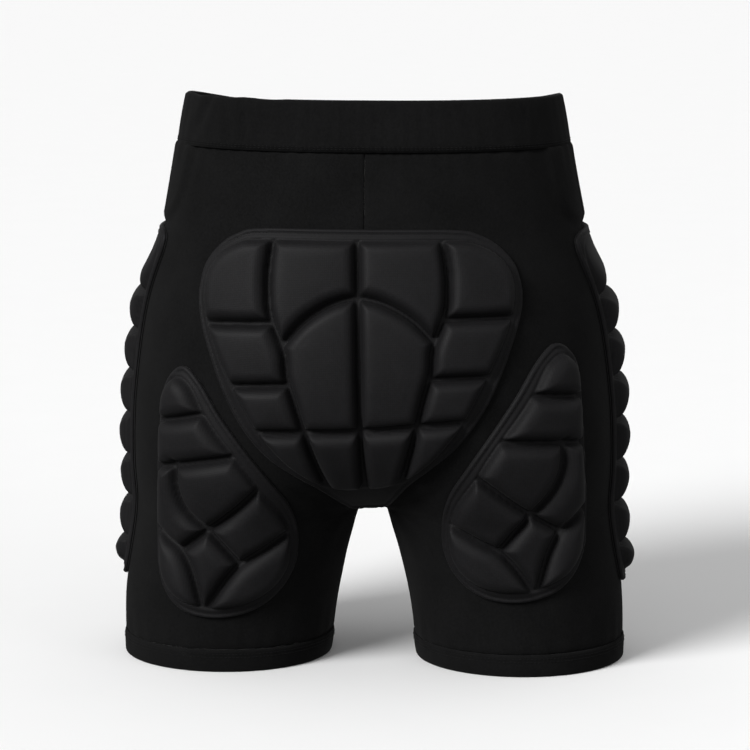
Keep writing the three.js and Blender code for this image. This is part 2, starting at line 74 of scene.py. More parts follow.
class WornShape(bpy.types.PropertyGroup):
    """The body shape that the shorts are stretched over."""

    leg_length: length("Leg length", 124, "Hem to crotch")
    front_drop: length("Front drop", 22, "How much lower the waist is in front")
    waist_half_width: length("Waist half width", 146.5, "Half the width of the waist")
    waist_back_depth: length("Waist back depth", 97, "Waist, from the middle to the back")
    waist_front_depth: length("Waist front depth", 90, "Waist, from the middle to the front")
    hip_half_width: length("Hip half width", 181, "Half the width of the hips")
    hip_back_depth: length("Hip back depth", 128, "Hips, from the middle to the back")
    hip_front_depth: length("Hip front depth", 100, "Hips, from the middle to the front")
    thigh_half_width: length("Thigh half width", 194, "Half the width over both thighs")
    hem_centre_x: length("Hem centre", 118, "Middle of a leg opening")
    hem_half_width: length("Hem half width", 83, "Half the width of a leg opening")
    hem_half_depth: length("Hem half depth", 82, "Half the depth of a leg opening")
    crotch_gap: length("Crotch gap", 20, "Space between the legs at the crotch")
    crotch_leg_half_width: length("Thigh radius across", 90, "Half the width of one leg at the crotch")
    crotch_leg_half_depth: length("Thigh radius front to back", 93, "Half the depth of one leg at the crotch")
    blend_height: length("Blend height", 97, "Height over which the legs merge into the torso")
    bridge_half_width: length("Bridge", 20, "The cloth spans this flat between the thighs")


class ClothSizes(bpy.types.PropertyGroup):
    """Thicknesses and widths of the cloth parts."""

    shell: length("Shell cloth", 1.2, "Thickness of the knitted shell")
    band_height: length("Waistband height", 39.5, "Height of the waistband")
    hem_height: length("Hem height", 18, "Height of the leg hems")
    flange: length("Pad edge", 2.5, "Height of a pad's sewn edge above the shell")
    block: length("Foam blocks", 8.6, "Height of a block's walls above the pad's edge")
    crown: length("Block crown", 2.6, "How far a block's middle stands above its walls")
    channel: length("Channels", 3.6, "Width of a sewn channel between blocks")
    wall: length("Block shoulders", 8.0, "Width over which a block's edge rounds")
    seat_pad_top: length("Seat pad top", 356, "Height of the seat pad's upper edge")
    seat_pivot: length("Seat pad pivot", 206, "Depth below its top at which the seat pad hangs straight")
    seat_lean: bpy.props.FloatProperty(
        name="Seat lean", default=0.025,
        description="How far the seat pad's top leans to the left, for its height",
    )
    seat_turn: bpy.props.FloatProperty(
        name="Seat turn", default=0.42,
        description="How much lower the seat pad's rows run on the left, per metre",
    )
    thigh_pad_x: length("Thigh pad from the middle", 123.5, "Star point of a thigh pad")
    thigh_pad_z: length("Thigh pad height", 127.5, "Star point of a thigh pad")
    thigh_shift: length("Thigh pads to the right", 2.5, "How far both thigh pads sit to the right")
    thigh_hang: bpy.props.FloatProperty(
        name="Thigh hang", default=0.069,
        description="How much lower the left thigh pad hangs, for its distance",
    )


class ClothColours(bpy.types.PropertyGroup):
    """Base colours of the cloth."""

    shell: colour("Shell knit", 0.0055, 0.0055, 0.0056, "Matt stretch knit")
    pad: colour("Pad cloth", 0.0060, 0.0058, 0.0063, "Cloth over the foam")
    backing: colour("Pad backing", 0.0065, 0.0065, 0.0067, "Cloth under the pads")
    thread: colour("Thread", 0.0075, 0.0075, 0.0078, "Sewing thread")
    elastic: colour("Elastic", 0.62, 0.61, 0.58, "Woven elastic")
    label: colour("Label", 0.74, 0.73, 0.69, "Blank care label")
    foam: colour("Hip pads", 0.035, 0.035, 0.037, "Cloth-faced foam inside the hips")
    floor: colour("Floor", 0.93, 0.93, 0.93, "Pale studio floor")


# ---- the worn form ------------------------------------------------------------------------
def smoothstep(low, high, value):
    """0 up to low, 1 from high, and a smooth rise between them."""
    t = np.clip((value - low) / (high - low), 0, 1)
    return t * t * (3 - 2 * t)


def along(stations, z):
    """The stations' smooth curve at heights z: one row of values for each."""
    heights, values = stations[:, 0], stations[:, 1:]
    z = np.clip(z, heights[0], heights[-1])
    i = np.clip(np.searchsorted(heights, z, side="right") - 1, 0, len(heights) - 2)
    secant = (values[1:] - values[:-1]) / np.diff(heights)[:, None]
    slope = np.vstack([secant[:1], (secant[1:] + secant[:-1]) / 2, secant[-1:]])
    span = (heights[i + 1] - heights[i])[..., None]
    t = (z - heights[i])[..., None] / span
    return (
        (2 * t**3 - 3 * t**2 + 1) * values[i]
        + (t**3 - 2 * t**2 + t) * span * slope[i]
        + (3 * t**2 - 2 * t**3) * values[i + 1]
        + (t**3 - t**2) * span * slope[i + 1]
    )


class WornForm:
    """The body the cloth is stretched over. Its own y runs from the middle of the hips."""

    squareness = 2.35
    march = 0.008
    furthest = 0.2

    def __init__(self, shape):
        crotch, top = shape.leg_length, WAIST_TOP
        thigh, hip = shape.thigh_half_width, shape.hip_half_width
        back, front = shape.hip_back_depth, shape.hip_front_depth
        hip_line, band_line = crotch + 0.154, top - 0.045
        self.torso = np.array([
            (0, thigh, back - 0.010, front - 0.008),
            (crotch + 0.024, thigh, back - 0.009, front - 0.008),
            (crotch + 0.094, (thigh + hip) / 2 + 0.0015, back + 0.003, front - 0.003),
            (hip_line, hip, back, front),
            ((hip_line + band_line) / 2 + 0.003, hip - 0.015, back - 0.014, front),
            (band_line, shape.waist_half_width + 0.008, shape.waist_back_depth + 0.007,
             shape.waist_front_depth + 0.005),
            (top, shape.waist_half_width, shape.waist_back_depth, shape.waist_front_depth),
        ])
        hem_x, hem_w, hem_d = shape.hem_centre_x, shape.hem_half_width, shape.hem_half_depth
        leg_w, leg_d = shape.crotch_leg_half_width, shape.crotch_leg_half_depth
        leg_x = shape.crotch_gap / 2 + leg_w
        self.leg = np.array([
            (0, hem_x, hem_w, -0.002, hem_d),
            (crotch - 0.071, hem_x - 0.004, hem_w + 0.003, -0.003, hem_d + 0.004),
            (crotch, leg_x, leg_w, -0.004, leg_d),
            (crotch + 0.034, leg_x - 0.006, leg_w + 0.006, -0.008, leg_d + 0.009),
            (crotch + 0.094, leg_x - 0.009, leg_w + 0.006, -0.014, leg_d + 0.019),
            (top, leg_x - 0.009, leg_w + 0.006, -0.014, leg_d + 0.019),
        ])
        self.shape, self.crotch, self.top = shape, crotch, top
        hem_middle = (HEM_LOW[1] + HEM_HIGH[1]) / 2
        self.shift = np.array([0, hem_middle - self.leg_centre(HEM_HIGH[2])[1], 0])

    def leg_centre(self, z):
        """The middle of the right leg, x and y, at heights z."""
        values = along(self.leg, np.asarray(z, float))
        return np.stack([values[..., 0], values[..., 2]], 0)

    def value(self, p):
        """Below zero inside, about the distance to the surface near it."""
        x, y, z = p[..., 0], p[..., 1], p[..., 2]
        leg_x, leg_w, leg_y, leg_d = np.moveaxis(along(self.leg, z), -1, 0)
        half, back, front = np.moveaxis(along(self.torso, z), -1, 0)
        joined = self.shape.bridge_half_width * smoothstep(self.crotch - 0.008, self.crotch + 0.006, z)
        across = (x**4 + joined**4) ** 0.25
        leg = (np.hypot((across - leg_x) / leg_w, (y - leg_y) / leg_d) - 1) * (leg_w + leg_d) / 2
        depth = np.where(y < 0, back, front)
        power = self.squareness
        reach = ((across / half) ** power + (np.abs(y) / depth) ** power) ** (1 / power)
        torso = (reach - 1) * (half + depth) / 2
        merge = smoothstep(self.crotch, self.crotch + self.shape.blend_height, z)
        return (1 - merge) * leg + merge * torso

    def normals(self, p):
        step = 0.0008
        slope = np.stack([
            self.value(p + step * axis) - self.value(p - step * axis) for axis in np.eye(3)
        ], -1)
        return slope / np.linalg.norm(slope, axis=-1, keepdims=True)

    def reach(self, start, direction):
        """First points of the surface from inside it along the directions."""
        start, direction = np.broadcast_arrays(start, direction)
        near = np.zeros(start.shape[:-1])
        going = np.ones(near.shape, bool)
        for _ in range(round(self.furthest / self.march)):
            ahead = self.value(start + (near + self.march)[..., None] * direction) < 0
            going &= ahead
            near = np.where(going, near + self.march, near)
        far = near + self.march
        for _ in range(14):
            middle = (near + far) / 2
            inside = self.value(start + middle[..., None] * direction) < 0
            near, far = np.where(inside, middle, near), np.where(inside, far, middle)
        return start + near[..., None] * direction

    def back(self, x, z):
        """Points of the form's back."""
        start = np.stack([x, self.leg_centre(z)[1], z], -1)
        return self.reach(start, np.array([0.0, -1.0, 0.0]))

    def flank(self, side, y, z):
        """Points of the form's left or right side."""
        start = np.stack([side * self.leg_centre(z)[0], y, z], -1)
        return self.reach(start, np.array([float(side), 0.0, 0.0]))

    def waist_dip(self, y):
        """How much lower the waist is than at the back."""
        depth = self.shape.waist_back_depth + self.shape.waist_front_depth
        return self.shape.front_drop * np.clip((y + self.shape.waist_back_depth) / depth, 0, 1) ** 4


# ---- lines on the cloth ----------------------------------------------------------------------
def rounded(points, closed=True, steps=6):
    """A smooth line through a few points, given in millimetres."""
    points = np.asarray(points, float) * MM
    count = len(points)
    line = []
    for i in range(count if closed else count - 1):
        if closed:
            a, b, c, d = (points[(i + k) % count] for k in (-1, 0, 1, 2))
        else:
            a, b, c, d = (points[min(max(i + k, 0), count - 1)] for k in (-1, 0, 1, 2))
        for t in np.linspace(0, 1, steps, endpoint=False):
            line.append(
                0.5 * (2 * b + (c - a) * t + (2 * a - 5 * b + 4 * c - d) * t**2 + (3 * b - a - 3 * c + d) * t**3)
            )
    if not closed:
        line.append(points[-1])
    return np.array(line)


def to_line(places, line, closed=True):
    """Distance from each place to a line, and the nearest place on it."""
    best = np.full(places.shape[:-1], np.inf)
    nearest = np.zeros_like(places)
    ends = np.roll(line, -1, 0) if closed else line[1:]
    for a, b in zip(line, ends):
        stretch = b - a
        share = np.clip(((places - a) @ stretch) / max(stretch @ stretch, 1e-12), 0, 1)
        foot = a + share[..., None] * stretch
        distance = np.linalg.norm(places - foot, axis=-1)
        closer = distance < best
        best = np.where(closer, distance, best)
        nearest = np.where(closer[..., None], foot, nearest)
    return best, nearest


def inside_line(places, line):
    within = np.zeros(places.shape[:-1], bool)
    for a, b in zip(line, np.roll(line, -1, 0)):
        if a[1] == b[1]:
            continue
        crosses = (a[1] > places[..., 1]) != (b[1] > places[..., 1])
        edge = a[0] + (b[0] - a[0]) * (places[..., 1] - a[1]) / (b[1] - a[1])
        within ^= crosses & (places[..., 0] < edge)
    return within


def depth_inside(places, line):
    """Distance to a closed line, above zero inside it."""
    distance, _ = to_line(places, line)
    return np.where(inside_line(places, line), distance, -distance)


# ---- pad patterns, in millimetres ---------------------------------------------------------------
class PadPattern:
    """One pad: its edge, the edge of its blocks and the channels between them, as lines in metres."""

    def __init__(self, edge, blocks, channels, wall, ends=None, thin_top=None):
        self.edge, self.blocks, self.channels = edge, blocks, channels
        self.wall, self.ends = wall, ends or wall
        self.thin_top = thin_top


def seat_pattern(sizes):
    """The seat pad's right half, as outward and below its top, mirrored."""
    edge = [(0, 0), (72, 0.5), (92, 5), (106, 14), (117.5, 28), (122.5, 44), (123.5, 58), (121, 74),
            (115, 94), (108, 114), (98.5, 135), (86, 155), (71, 172.5), (52, 188), (37, 200), (28, 210),
            (20, 220), (14, 225), (0, 225.5)]
    blocks = [(0, 9.5), (72, 9.5), (90, 12.5), (105, 22), (114, 36), (116.5, 54), (113, 75), (105, 97),
              (97, 114),
              (88, 132), (77, 151.5), (66, 166), (54, 179), (38, 191), (22, 196.5), (0, 198)]
    side = [(62.5, 6), (66, 27), (67, 45), (65.5, 64), (56, 90.5), (54, 109.5), (48.5, 128.5), (43, 149),
            (33.5, 185), (28, 200)]
    arch = [(0, 51), (17, 55), (32, 62.5), (44.5, 72), (57, 86)]
    rungs = [[(66, 69.5), (120, 70.5)], [(54, 114.5), (101, 115.3)], [(43, 149), (84, 149)],
             [(0, 149.5), (43, 149)]]
    spine = [(0, 6), (0, 200)]

    def placed(line, sign):
        x, down = sign * line[:, 0], line[:, 1]
        rise = sizes.seat_pad_top - down * (1 - sizes.seat_turn * x)
        return np.stack([x - sizes.seat_lean * (sizes.seat_pivot - down), rise], -1)

    def both(points):
        half = list(points) + [(-x, down) for x, down in points[-2:0:-1]]
        return placed(rounded(half), 1)

    channels = [placed(rounded(spine, closed=False), 1)]
    for line in [side, arch, *rungs]:
        channels += [placed(rounded(line, closed=False), sign) for sign in (-1, 1)]
    return PadPattern(both(edge), both(blocks), channels, wall=sizes.wall)


def thigh_pattern(sizes, side):
    """A thigh pad, as inboard and above its star point."""
    edge = [(-20, 129), (-34, 113), (-39, 74), (-42, 20), (-43, -20), (-41, -42), (-33, -59), (-18, -70),
            (7, -74), (33, -69), (53, -54), (64, -33), (66, -9), (61, 16), (47, 39), (28, 66), (10, 92), (-6, 118)]
    blocks = [(-23, 120), (-33, 108), (-36, 82), (-37, 51), (-39, 15), (-39, -18), (-37, -40), (-27, -56),
              (-9, -63), (8, -65), (30, -61), (47, -50), (57, -33), (59, -11), (54, 10), (40, 31), (31, 46),
              (20, 62), (8, 78), (-3, 95), (-12, 113)]
    lines = [
        [(-42, 85), (-20, 89), (8, 95)], [(-42, 49), (-10, 55), (34, 62)],
        [(-23, 54), (-22, 34), (-15, 17), (0, 0)],
        [(0, 0), (20, 17), (46, 40)], [(0, 0), (22, -29)], [(0, 0), (-21, -18)],
        [(62, -2), (40, -18), (22, -30), (8, -47), (-5, -68)],
        [(-42, 4), (-32, -8), (-21, -18), (-13, -36), (-6, -68)],
    ]

    def placed(line):
        x = side * (sizes.thigh_pad_x - line[:, 0]) + sizes.thigh_shift
        return np.stack([x, sizes.thigh_pad_z + line[:, 1] + sizes.thigh_hang * x], -1)

    channels = [placed(rounded(line, closed=False)) for line in lines]
    return PadPattern(placed(rounded(edge)), placed(rounded(blocks)), channels, wall=sizes.wall * 1.25)


def side_pattern():
    """A side pad, as forward and up: bars whose channels fall away from the middle."""
    top, foot, first, last, bars, fall = 345, 64, 45, 32, 8, 12
    edge = [(-38, top), (-46, top - 14), (-32, 290), (-26, 250), (-24, 150), (-22, foot + 16), (-15, foot),
            (4, foot - 1), (31, foot), (42, foot + 16), (46, 150), (50, 250), (50, top - 14), (42, top),
            (0, top + 1)]
    blocks = [(-30, top - 7), (-38, top - 20), (-25, 288), (-19, 250), (-17, 150), (-15, foot + 22),
              (-9, foot + 8), (4, foot + 7), (24, foot + 8), (35, foot + 22), (39, 150), (43, 250),
              (43, top - 20), (34, top - 7), (0, top - 6)]
    pitch = (top - first - foot - last) / (bars - 2)
    middle = 8
    channels = []
    for k in range(bars - 1):
        z = top - first - k * pitch
        channels.append(rounded([(-50, z - fall), (-20, z - fall * 0.45), (middle, z), (34, z - fall * 0.45),
                                 (58, z - fall)], closed=False))
    return PadPattern(rounded(edge), rounded(blocks), channels, wall=17 * MM, ends=16 * MM,
                      thin_top=(top * MM, first * MM))


# ---- how the shell lies ---------------------------------------------------------------------
class Drape:
    """How far the shell stands off the worn form: the hip pads under it, folds and gathers."""

    swell = 2.8 * MM
    swell_middle = (-10 * MM, 398 * MM)
    swell_half_sizes = (49 * MM, 47 * MM)
    fold_depth, wave_depth = 0.35 * MM, 0.25 * MM
    gather_depth, pucker_depth = 0.42 * MM, 0.28 * MM
    pull_depth, crease_depth, crease_width = 0.5 * MM, 1.6 * MM, 7.5 * MM

    def __init__(self, form, sizes):
        self.form, self.sizes = form, sizes
        self.rear = [seat_pattern(sizes), thigh_pattern(sizes, -1), thigh_pattern(sizes, 1)]
        self.flank = side_pattern()

    def free(self, p):
        """1 where the cloth is free, 0 where a pad is sewn to it."""
        outside = np.full(p.shape[:-1], 1.0)
        for pattern in self.rear:
            outside = np.minimum(outside, -depth_inside(p[..., [0, 2]], pattern.edge))
        outside = np.where(p[..., 1] < -0.03, outside, 1.0)
        broad = np.abs(p[..., 0]) > 0.12
        sides = np.where(broad, -depth_inside(p[..., [1, 2]], self.flank.edge), 1.0)
        return smoothstep(0.001, 0.013, np.minimum(outside, sides))

    def hip_swell(self, p):
        """The shell lifted by the hip pad under it, with a rounded square outline."""
        across, up = np.moveaxis(np.abs(p[..., 1:] - self.swell_middle) / self.swell_half_sizes, -1, 0)
        rounding = (across**3.2 + up**3.2) ** (1 / 3.2)
        return self.swell * (1 - smoothstep(0.88, 1.03, rounding)) * (np.abs(p[..., 0]) > 0.1)

    def folds(self, p):
        """Soft folds, gathers under the waistband, puckers over the hems and pulls from the crotch."""
        x, y, z = p[..., 0], p[..., 1], p[..., 2]
        turn = np.arctan2(y, x)
        leg_x, leg_y = self.form.leg_centre(z)
        leg_turn = np.arctan2(y - leg_y, np.abs(x) - leg_x)
        seam = WAIST_TOP - self.sizes.band_height - self.form.waist_dip(y)
        soft = self.fold_depth * np.sin(3.1 * turn + 0.6) * np.sin(z / 0.0165 + 1.4 * np.sin(2 * turn))
        soft += self.wave_depth * np.sin(5 * turn - z / 0.021)
        gathers = self.gather_depth * np.cos(58 * turn + 2.1 * np.sin(5 * turn))
        gathers *= np.exp(-np.maximum(seam - z, 0) / 0.013)
        puckers = self.pucker_depth * np.cos(30 * leg_turn + 1.5 * np.sin(3 * leg_turn))
        puckers *= 1 - smoothstep(0.02, 0.05, z)
        out, up = np.abs(x) - 0.014, z - self.form.crotch - 0.004
        spread, fan = np.hypot(out, up), np.arctan2(up, np.abs(out) + 1e-4)
        pulls = self.pull_depth * np.sin(11 * fan + 1.2 * np.sign(y) + 30 * spread)
        pulls *= smoothstep(0.008, 0.03, spread) * (1 - smoothstep(0.06, 0.125, spread))
        crease_line = np.array([(0.020, 0.133), (0.050, 0.146), (0.086, 0.160)])
        off_crease, _ = to_line(np.stack([np.abs(x), z], -1), crease_line, closed=False)
        crease = -self.crease_depth * np.exp(-((off_crease / self.crease_width) ** 2)) * (y < -0.03)
        return soft + gathers + puckers + pulls + crease

    def height(self, p):
        return self.hip_swell(p) + self.folds(p) * self.free(p)


# ---- meshes -------------------------------------------------------------------------------
def new_piece(name, form, points, faces, cloth, smooth=True):
    """A mesh object in the row's frame. cloth holds each point's place on the flat cloth."""
    mesh = bpy.data.meshes.new(name)
    mesh.from_pydata((points + form.shift).tolist(), [], faces if isinstance(faces, list) else faces.tolist())
    mesh.polygons.foreach_set("use_smooth", np.full(len(mesh.polygons), smooth))
    place = mesh.attributes.new("cloth", "FLOAT_VECTOR", "POINT")
    place.data.foreach_set("vector", np.asarray(cloth, np.float32).ravel())
    mesh.update()
    piece = bpy.data.objects.new(name, mesh)
    bpy.context.collection.objects.link(piece)
    return piece


def flat_places(grid):
    """Places on the flat cloth for a grid of points: lengths along its rows and up its middle."""
    steps = np.linalg.norm(np.diff(grid, axis=1), axis=2)
    u = np.concatenate([np.zeros((len(grid), 1)), np.cumsum(steps, 1)], 1)
    climbs = np.linalg.norm(np.diff(grid, axis=0), axis=2).mean(1)
    v = np.concatenate([[0], np.cumsum(climbs)])
    return np.stack([u, np.broadcast_to(v[:, None], u.shape), np.zeros_like(u)], -1)


def outward(points, faces):
    """Turns the faces round if the closed mesh is inside out."""
    a, b, c = points[faces[:, 0]], points[faces[:, 1]], points[faces[:, 2]]
    d = points[faces[:, 3]]
    volume = (a * np.cross(b, c)).sum() + (a * np.cross(c, d)).sum()
    return faces if volume > 0 else faces[:, ::-1]


def lattice_faces(keep):
    """Faces of a closed slab over the kept squares of a lattice: outer, inner and rim."""
    rows, columns = keep.shape[0] + 1, keep.shape[1] + 1
    index = np.arange(rows * columns).reshape(rows, columns)
    below = rows * columns
    a, b, c, d = index[:-1, :-1], index[:-1, 1:], index[1:, 1:], index[1:, :-1]
    quads = [np.stack([a, b, c, d], -1)[keep], np.stack([a, d, c, b], -1)[keep] + below]
    padded = np.pad(keep, 1)
    around = ((0, -1, (a, b)), (1, 0, (b, c)), (0, 1, (c, d)), (-1, 0, (d, a)))
    for column_step, row_step, (start, end) in around:
        row, column = 1 + row_step, 1 + column_step
        beside = padded[row:row + keep.shape[0], column:column + keep.shape[1]]
        open_side = keep & ~beside
        p, q = start[open_side], end[open_side]
        quads.append(np.stack([q, p, p + below, q + below], -1))
    return np.concatenate(quads)


def slab_piece(name, form, outer, inner, cloth, keep=None):
    """A closed sheet between two grids of points."""
    rows, columns = outer.shape[:2]
    keep = np.ones((rows - 1, columns - 1), bool) if keep is None else keep
    points = np.concatenate([outer.reshape(-1, 3), inner.reshape(-1, 3)])
    places = np.concatenate([cloth.reshape(-1, 3)] * 2)
    faces = outward(points, lattice_faces(keep))
    used = np.unique(faces)
    fresh = np.zeros(len(points), int)
    fresh[used] = np.arange(len(used))
    return new_piece(name, form, points[used], fresh[faces], places[used])


def hoop_piece(name, form, sections, cloth):
    """A closed hoop: sections is a ring of closed outlines."""
    turns, corners = sections.shape[:2]
    i, k = np.meshgrid(np.arange(turns), np.arange(corners), indexing="ij")
    at = lambda turn, corner: (turn % turns) * corners + corner % corners
    faces = np.stack([at(i, k), at(i + 1, k), at(i + 1, k + 1), at(i, k + 1)], -1).reshape(-1, 4)
    points = sections.reshape(-1, 3)
    return new_piece(name, form, points, outward(points, faces), cloth.reshape(-1, 3))


def finish_piece(piece, material, replaced=()):
    """Gives a piece its material and slot, sets it on the body and hides the nodes that it stands for."""
    piece.data.materials.append(material)
    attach(piece, "root")
    if replaced:
        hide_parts(*replaced)


def declare_sheet(grid):
    """Measures the width, length and area of a sheet's cut from its grid of points, and keeps none of them."""
    across = np.linalg.norm(np.diff(grid, axis=1), axis=2).sum(1).max()
    down = np.linalg.norm(np.diff(grid, axis=0), axis=2).sum(0).max()
    sides = grid[1:, :-1] - grid[:-1, :-1], grid[:-1, 1:] - grid[:-1, :-1]
    area = np.linalg.norm(np.cross(*sides), axis=2).sum()
    area = float(np.clip(area, 0.3 * across * down, across * down))


def stitches(name, form, path, normals, pitch=3.1 * MM, run=2.3 * MM, thread=0.42 * MM):
    """A row of stitches along a path: short bent lengths of thread that dip into the cloth."""
    steps = np.linalg.norm(np.diff(path, axis=0), axis=1)
    length_at = np.concatenate([[0], np.cumsum(steps)])
    count = max(int(length_at[-1] / pitch), 1)
    sides, rings = 6, 5
    along_run = np.linspace(-0.5, 0.5, rings)
    middles = (np.arange(count) + 0.5) * length_at[-1] / count
    places = middles[:, None] + along_run * run
    at = lambda values: np.stack([np.interp(places, length_at, values[:, k]) for k in range(3)], -1)
    centre, up = at(path), at(normals)
    up /= np.linalg.norm(up, axis=-1, keepdims=True)
    forward = np.gradient(centre, axis=1)
    forward /= np.linalg.norm(forward, axis=-1, keepdims=True)
    across = np.cross(forward, up)
    lift = thread * (0.62 - 1.1 * (2 * np.abs(along_run)) ** 2.5)
    girth = thread / 2 * np.sqrt(1 - (2 * np.abs(along_run)) ** 4 * 0.75)
    turn = np.arange(sides) * 2 * math.pi / sides
    ring = (
        centre[:, :, None] + up[:, :, None] * (lift[:, None] + girth[:, None] * np.sin(turn))[..., None]
        + across[:, :, None] * (girth[:, None] * np.cos(turn))[..., None]
    )
    points = ring.reshape(-1, 3)
    faces = []
    for r in range(rings - 1):
        for s in range(sides):
            t = (s + 1) % sides
            faces.append((r * sides + s, r * sides + t, (r + 1) * sides + t, (r + 1) * sides + s))
    starts = np.arange(count)[:, None, None] * rings * sides
    quads = (starts + np.array(faces)).reshape(-1, 4)
    caps = [tuple(k * rings * sides + s for s in range(sides))[::-1] for k in range(count)]
    caps += [tuple((k * rings + rings - 1) * sides + s for s in range(sides)) for k in range(count)]
    cloth = np.stack([
        np.broadcast_to(places[:, :, None], ring.shape[:3]), np.broadcast_to(turn, ring.shape[:3]) * thread,
        np.zeros(ring.shape[:3]),
    ], -1)
    return new_piece(name, form, points, quads.tolist() + caps, cloth.reshape(-1, 3))


# ---- materials ----------------------------------------------------------------------------
class Wire:
    """A shader value that Python's operators work on."""

    def __init__(self, cloth, socket):
        self.cloth, self.socket = cloth, socket

    def maths(self, operation, *others):
        return self.cloth.node("ShaderNodeMath", {"operation": operation}, dict(enumerate((self, *others))))

    def __add__(self, other):
        return self.maths("ADD", other)

    def __sub__(self, other):
        return self.maths("SUBTRACT", other)

    def __rsub__(self, other):
        return self.cloth.node("ShaderNodeMath", {"operation": "SUBTRACT"}, {0: other, 1: self})

    def __mul__(self, other):
        return self.maths("MULTIPLY", other)

    def __truediv__(self, other):
        return self.maths("DIVIDE", other)

    __radd__ = __add__
    __rmul__ = __mul__


class NodeTree:
    """A cleared node tree, with one method for every node that isn't plain maths."""

    def __init__(self, owner):
        self.owner = owner
        owner.use_nodes = True
        self.tree = owner.node_tree
        self.tree.nodes.clear()

    def node(self, kind, settings=None, values=None, out=0):
        made = self.tree.nodes.new(kind)
        for setting, value in (settings or {}).items():
            setattr(made, setting, value)
        for socket, value in (values or {}).items():
            if isinstance(value, Wire):
                self.tree.links.new(value.socket, made.inputs[socket])
            else:
                made.inputs[socket].default_value = value
        return Wire(self, made.outputs[out]) if len(made.outputs) else None

    def output(self, kind, shader):
        """Ends the tree in its output node and returns what the tree belongs to."""
        self.node(kind, None, {"Surface": shader})
        return self.owner


class ClothMaterial(NodeTree):
    """A material under construction."""

    def __init__(self, name):
        super().__init__(bpy.data.materials.new(name))

    def flat_place(self):
        """The place on the flat cloth: across, up, and a mask that is part rub wear, part painted highlight."""
        place = self.node("ShaderNodeAttribute", {"attribute_name": "cloth"}, out="Vector")
        return [self.node("ShaderNodeSeparateXYZ", None, {0: place}, out=k) for k in range(3)]

    def noise(self, scale, detail=3.0, roughness=0.55):
        place = self.node("ShaderNodeTexCoord", out="Object")
        return self.node("ShaderNodeTexNoise", None, {
            "Vector": place, "Scale": scale, "Detail": detail, "Roughness": roughness,
        })

    def blend(self, factor, first, second):
        return self.node(
            "ShaderNodeMix", {"data_type": "RGBA"}, {0: factor, 6: (*first, 1), 7: (*second, 1)}, out=2
        )

    def bump(self, height, strength, distance):
        return self.node("ShaderNodeBump", None, {
            "Height": height, "Strength": strength, "Distance": distance,
        })

    def surface(self, values):
        return self.output("ShaderNodeOutputMaterial", self.node("ShaderNodeBsdfPrincipled", None, values))


def shaded(base, factor):
    """A colour made darker or lighter."""
    return tuple(min(channel * factor, 1.0) for channel in base)


def knit_stitches(u, v, wale, course):
    """Height of a plain knit: columns of V stitches."""
    side = ((u / wale).maths("FRACT") * 2 - 1).maths("ABSOLUTE")
    loops = ((v / course + side * 0.5) * (2 * math.pi)).maths("SINE")
    return (1 - side * side) * (loops * 0.38 + 0.62)


def knit_material(name, base, wale, course):
    """Matt knit with its stitches, fuzz and cloudy patches."""
    cloth = ClothMaterial(name)
    u, v, _ = cloth.flat_place()
    loops = knit_stitches(u, v, wale, course)
    fuzz = cloth.noise(560.0, 2.0)
    patches = cloth.noise(26.0, 3.0)
    shade = loops * 0.3 + patches * 0.5 + fuzz * 0.8 - 0.3
    return cloth.surface({
        "Base Color": cloth.blend(shade, shaded(base, 0.45), shaded(base, 1.7)),
        "Roughness": 0.98 - patches * 0.16,
        "Specular IOR Level": 0.05,
        "Sheen Weight": 0.02,
        "Sheen Roughness": 0.45,
        "Normal": cloth.bump(loops + fuzz * 0.5, 0.5, 0.00022),
    })


def pad_material(name, base):
    """Plain-woven cloth over the foam, slightly polished where it is rubbed, and painted lighter on its raised
    edges: part rub wear, part painted highlight.
    """
    cloth = ClothMaterial(name)
    u, v, wear_and_highlight = cloth.flat_place()
    weft = ((u / 0.0015) * (2 * math.pi)).maths("SINE") * 0.5 + 0.5
    warp = ((v / 0.0013) * (2 * math.pi)).maths("SINE") * 0.5 + 0.5
    weave = weft * warp
    patches = cloth.noise(45.0, 4.0)
    lint = cloth.noise(520.0, 2.0)
    # raised shoulders, lip and welt are painted lighter: part rub wear, part painted highlight
    shade = weave * 0.3 + patches * 0.5 + lint * 0.6 - 0.22 + wear_and_highlight * 0.14
    return cloth.surface({
        "Base Color": cloth.blend(shade, shaded(base, 0.5), shaded(base, 1.85)),
        "Roughness": 0.6 - wear_and_highlight * 0.05 + patches * 0.1,
        "Specular IOR Level": 0.13,
        "Sheen Weight": 0.02,
        "Sheen Roughness": 0.4,
        "Normal": cloth.bump(weave + lint * 0.6, 0.35, 0.00014),
    })


def thread_material(name, base):
    """Twisted sewing thread."""
    cloth = ClothMaterial(name)
    u, v, _ = cloth.flat_place()
    twist = (((u * 0.8 + v * 1.6) / 0.00045) * (2 * math.pi)).maths("SINE") * 0.5 + 0.5
    return cloth.surface({
        "Base Color": cloth.blend(twist, shaded(base, 0.7), shaded(base, 1.5)),
        "Roughness": 0.6 - twist * 0.15,
        "Specular IOR Level": 0.12,
        "Normal": cloth.bump(twist, 0.5, 0.0001),
    })


def woven_material(name, base, thread_width, shine=0.3):
    """Plain weave, for the backing, elastic, label and the hip pads' facing."""
    cloth = ClothMaterial(name)
    u, v, _ = cloth.flat_place()
    over = ((u / thread_width) * (2 * math.pi)).maths("SINE")
    under = ((v / thread_width) * (2 * math.pi)).maths("SINE")
    weave = over * under * 0.5 + 0.5
    patches = cloth.noise(60.0, 3.0)
    return cloth.surface({
        "Base Color": cloth.blend(weave * 0.5 + patches * 0.5, shaded(base, 0.75), shaded(base, 1.2)),
        "Roughness": 0.85 - patches * 0.15,
        "Specular IOR Level": shine,
        "Normal": cloth.bump(weave, 0.5, 0.0002),
    })


def floor_material(name, base):
    """Matt pale floor with the faintest grain."""
    cloth = ClothMaterial(name)
    grain = cloth.noise(14.0, 2.0)
    return cloth.surface({
        "Base Color": cloth.blend(grain, shaded(base, 0.985), base),
        "Roughness": 0.9,
        "Specular IOR Level": 0.1,
    })


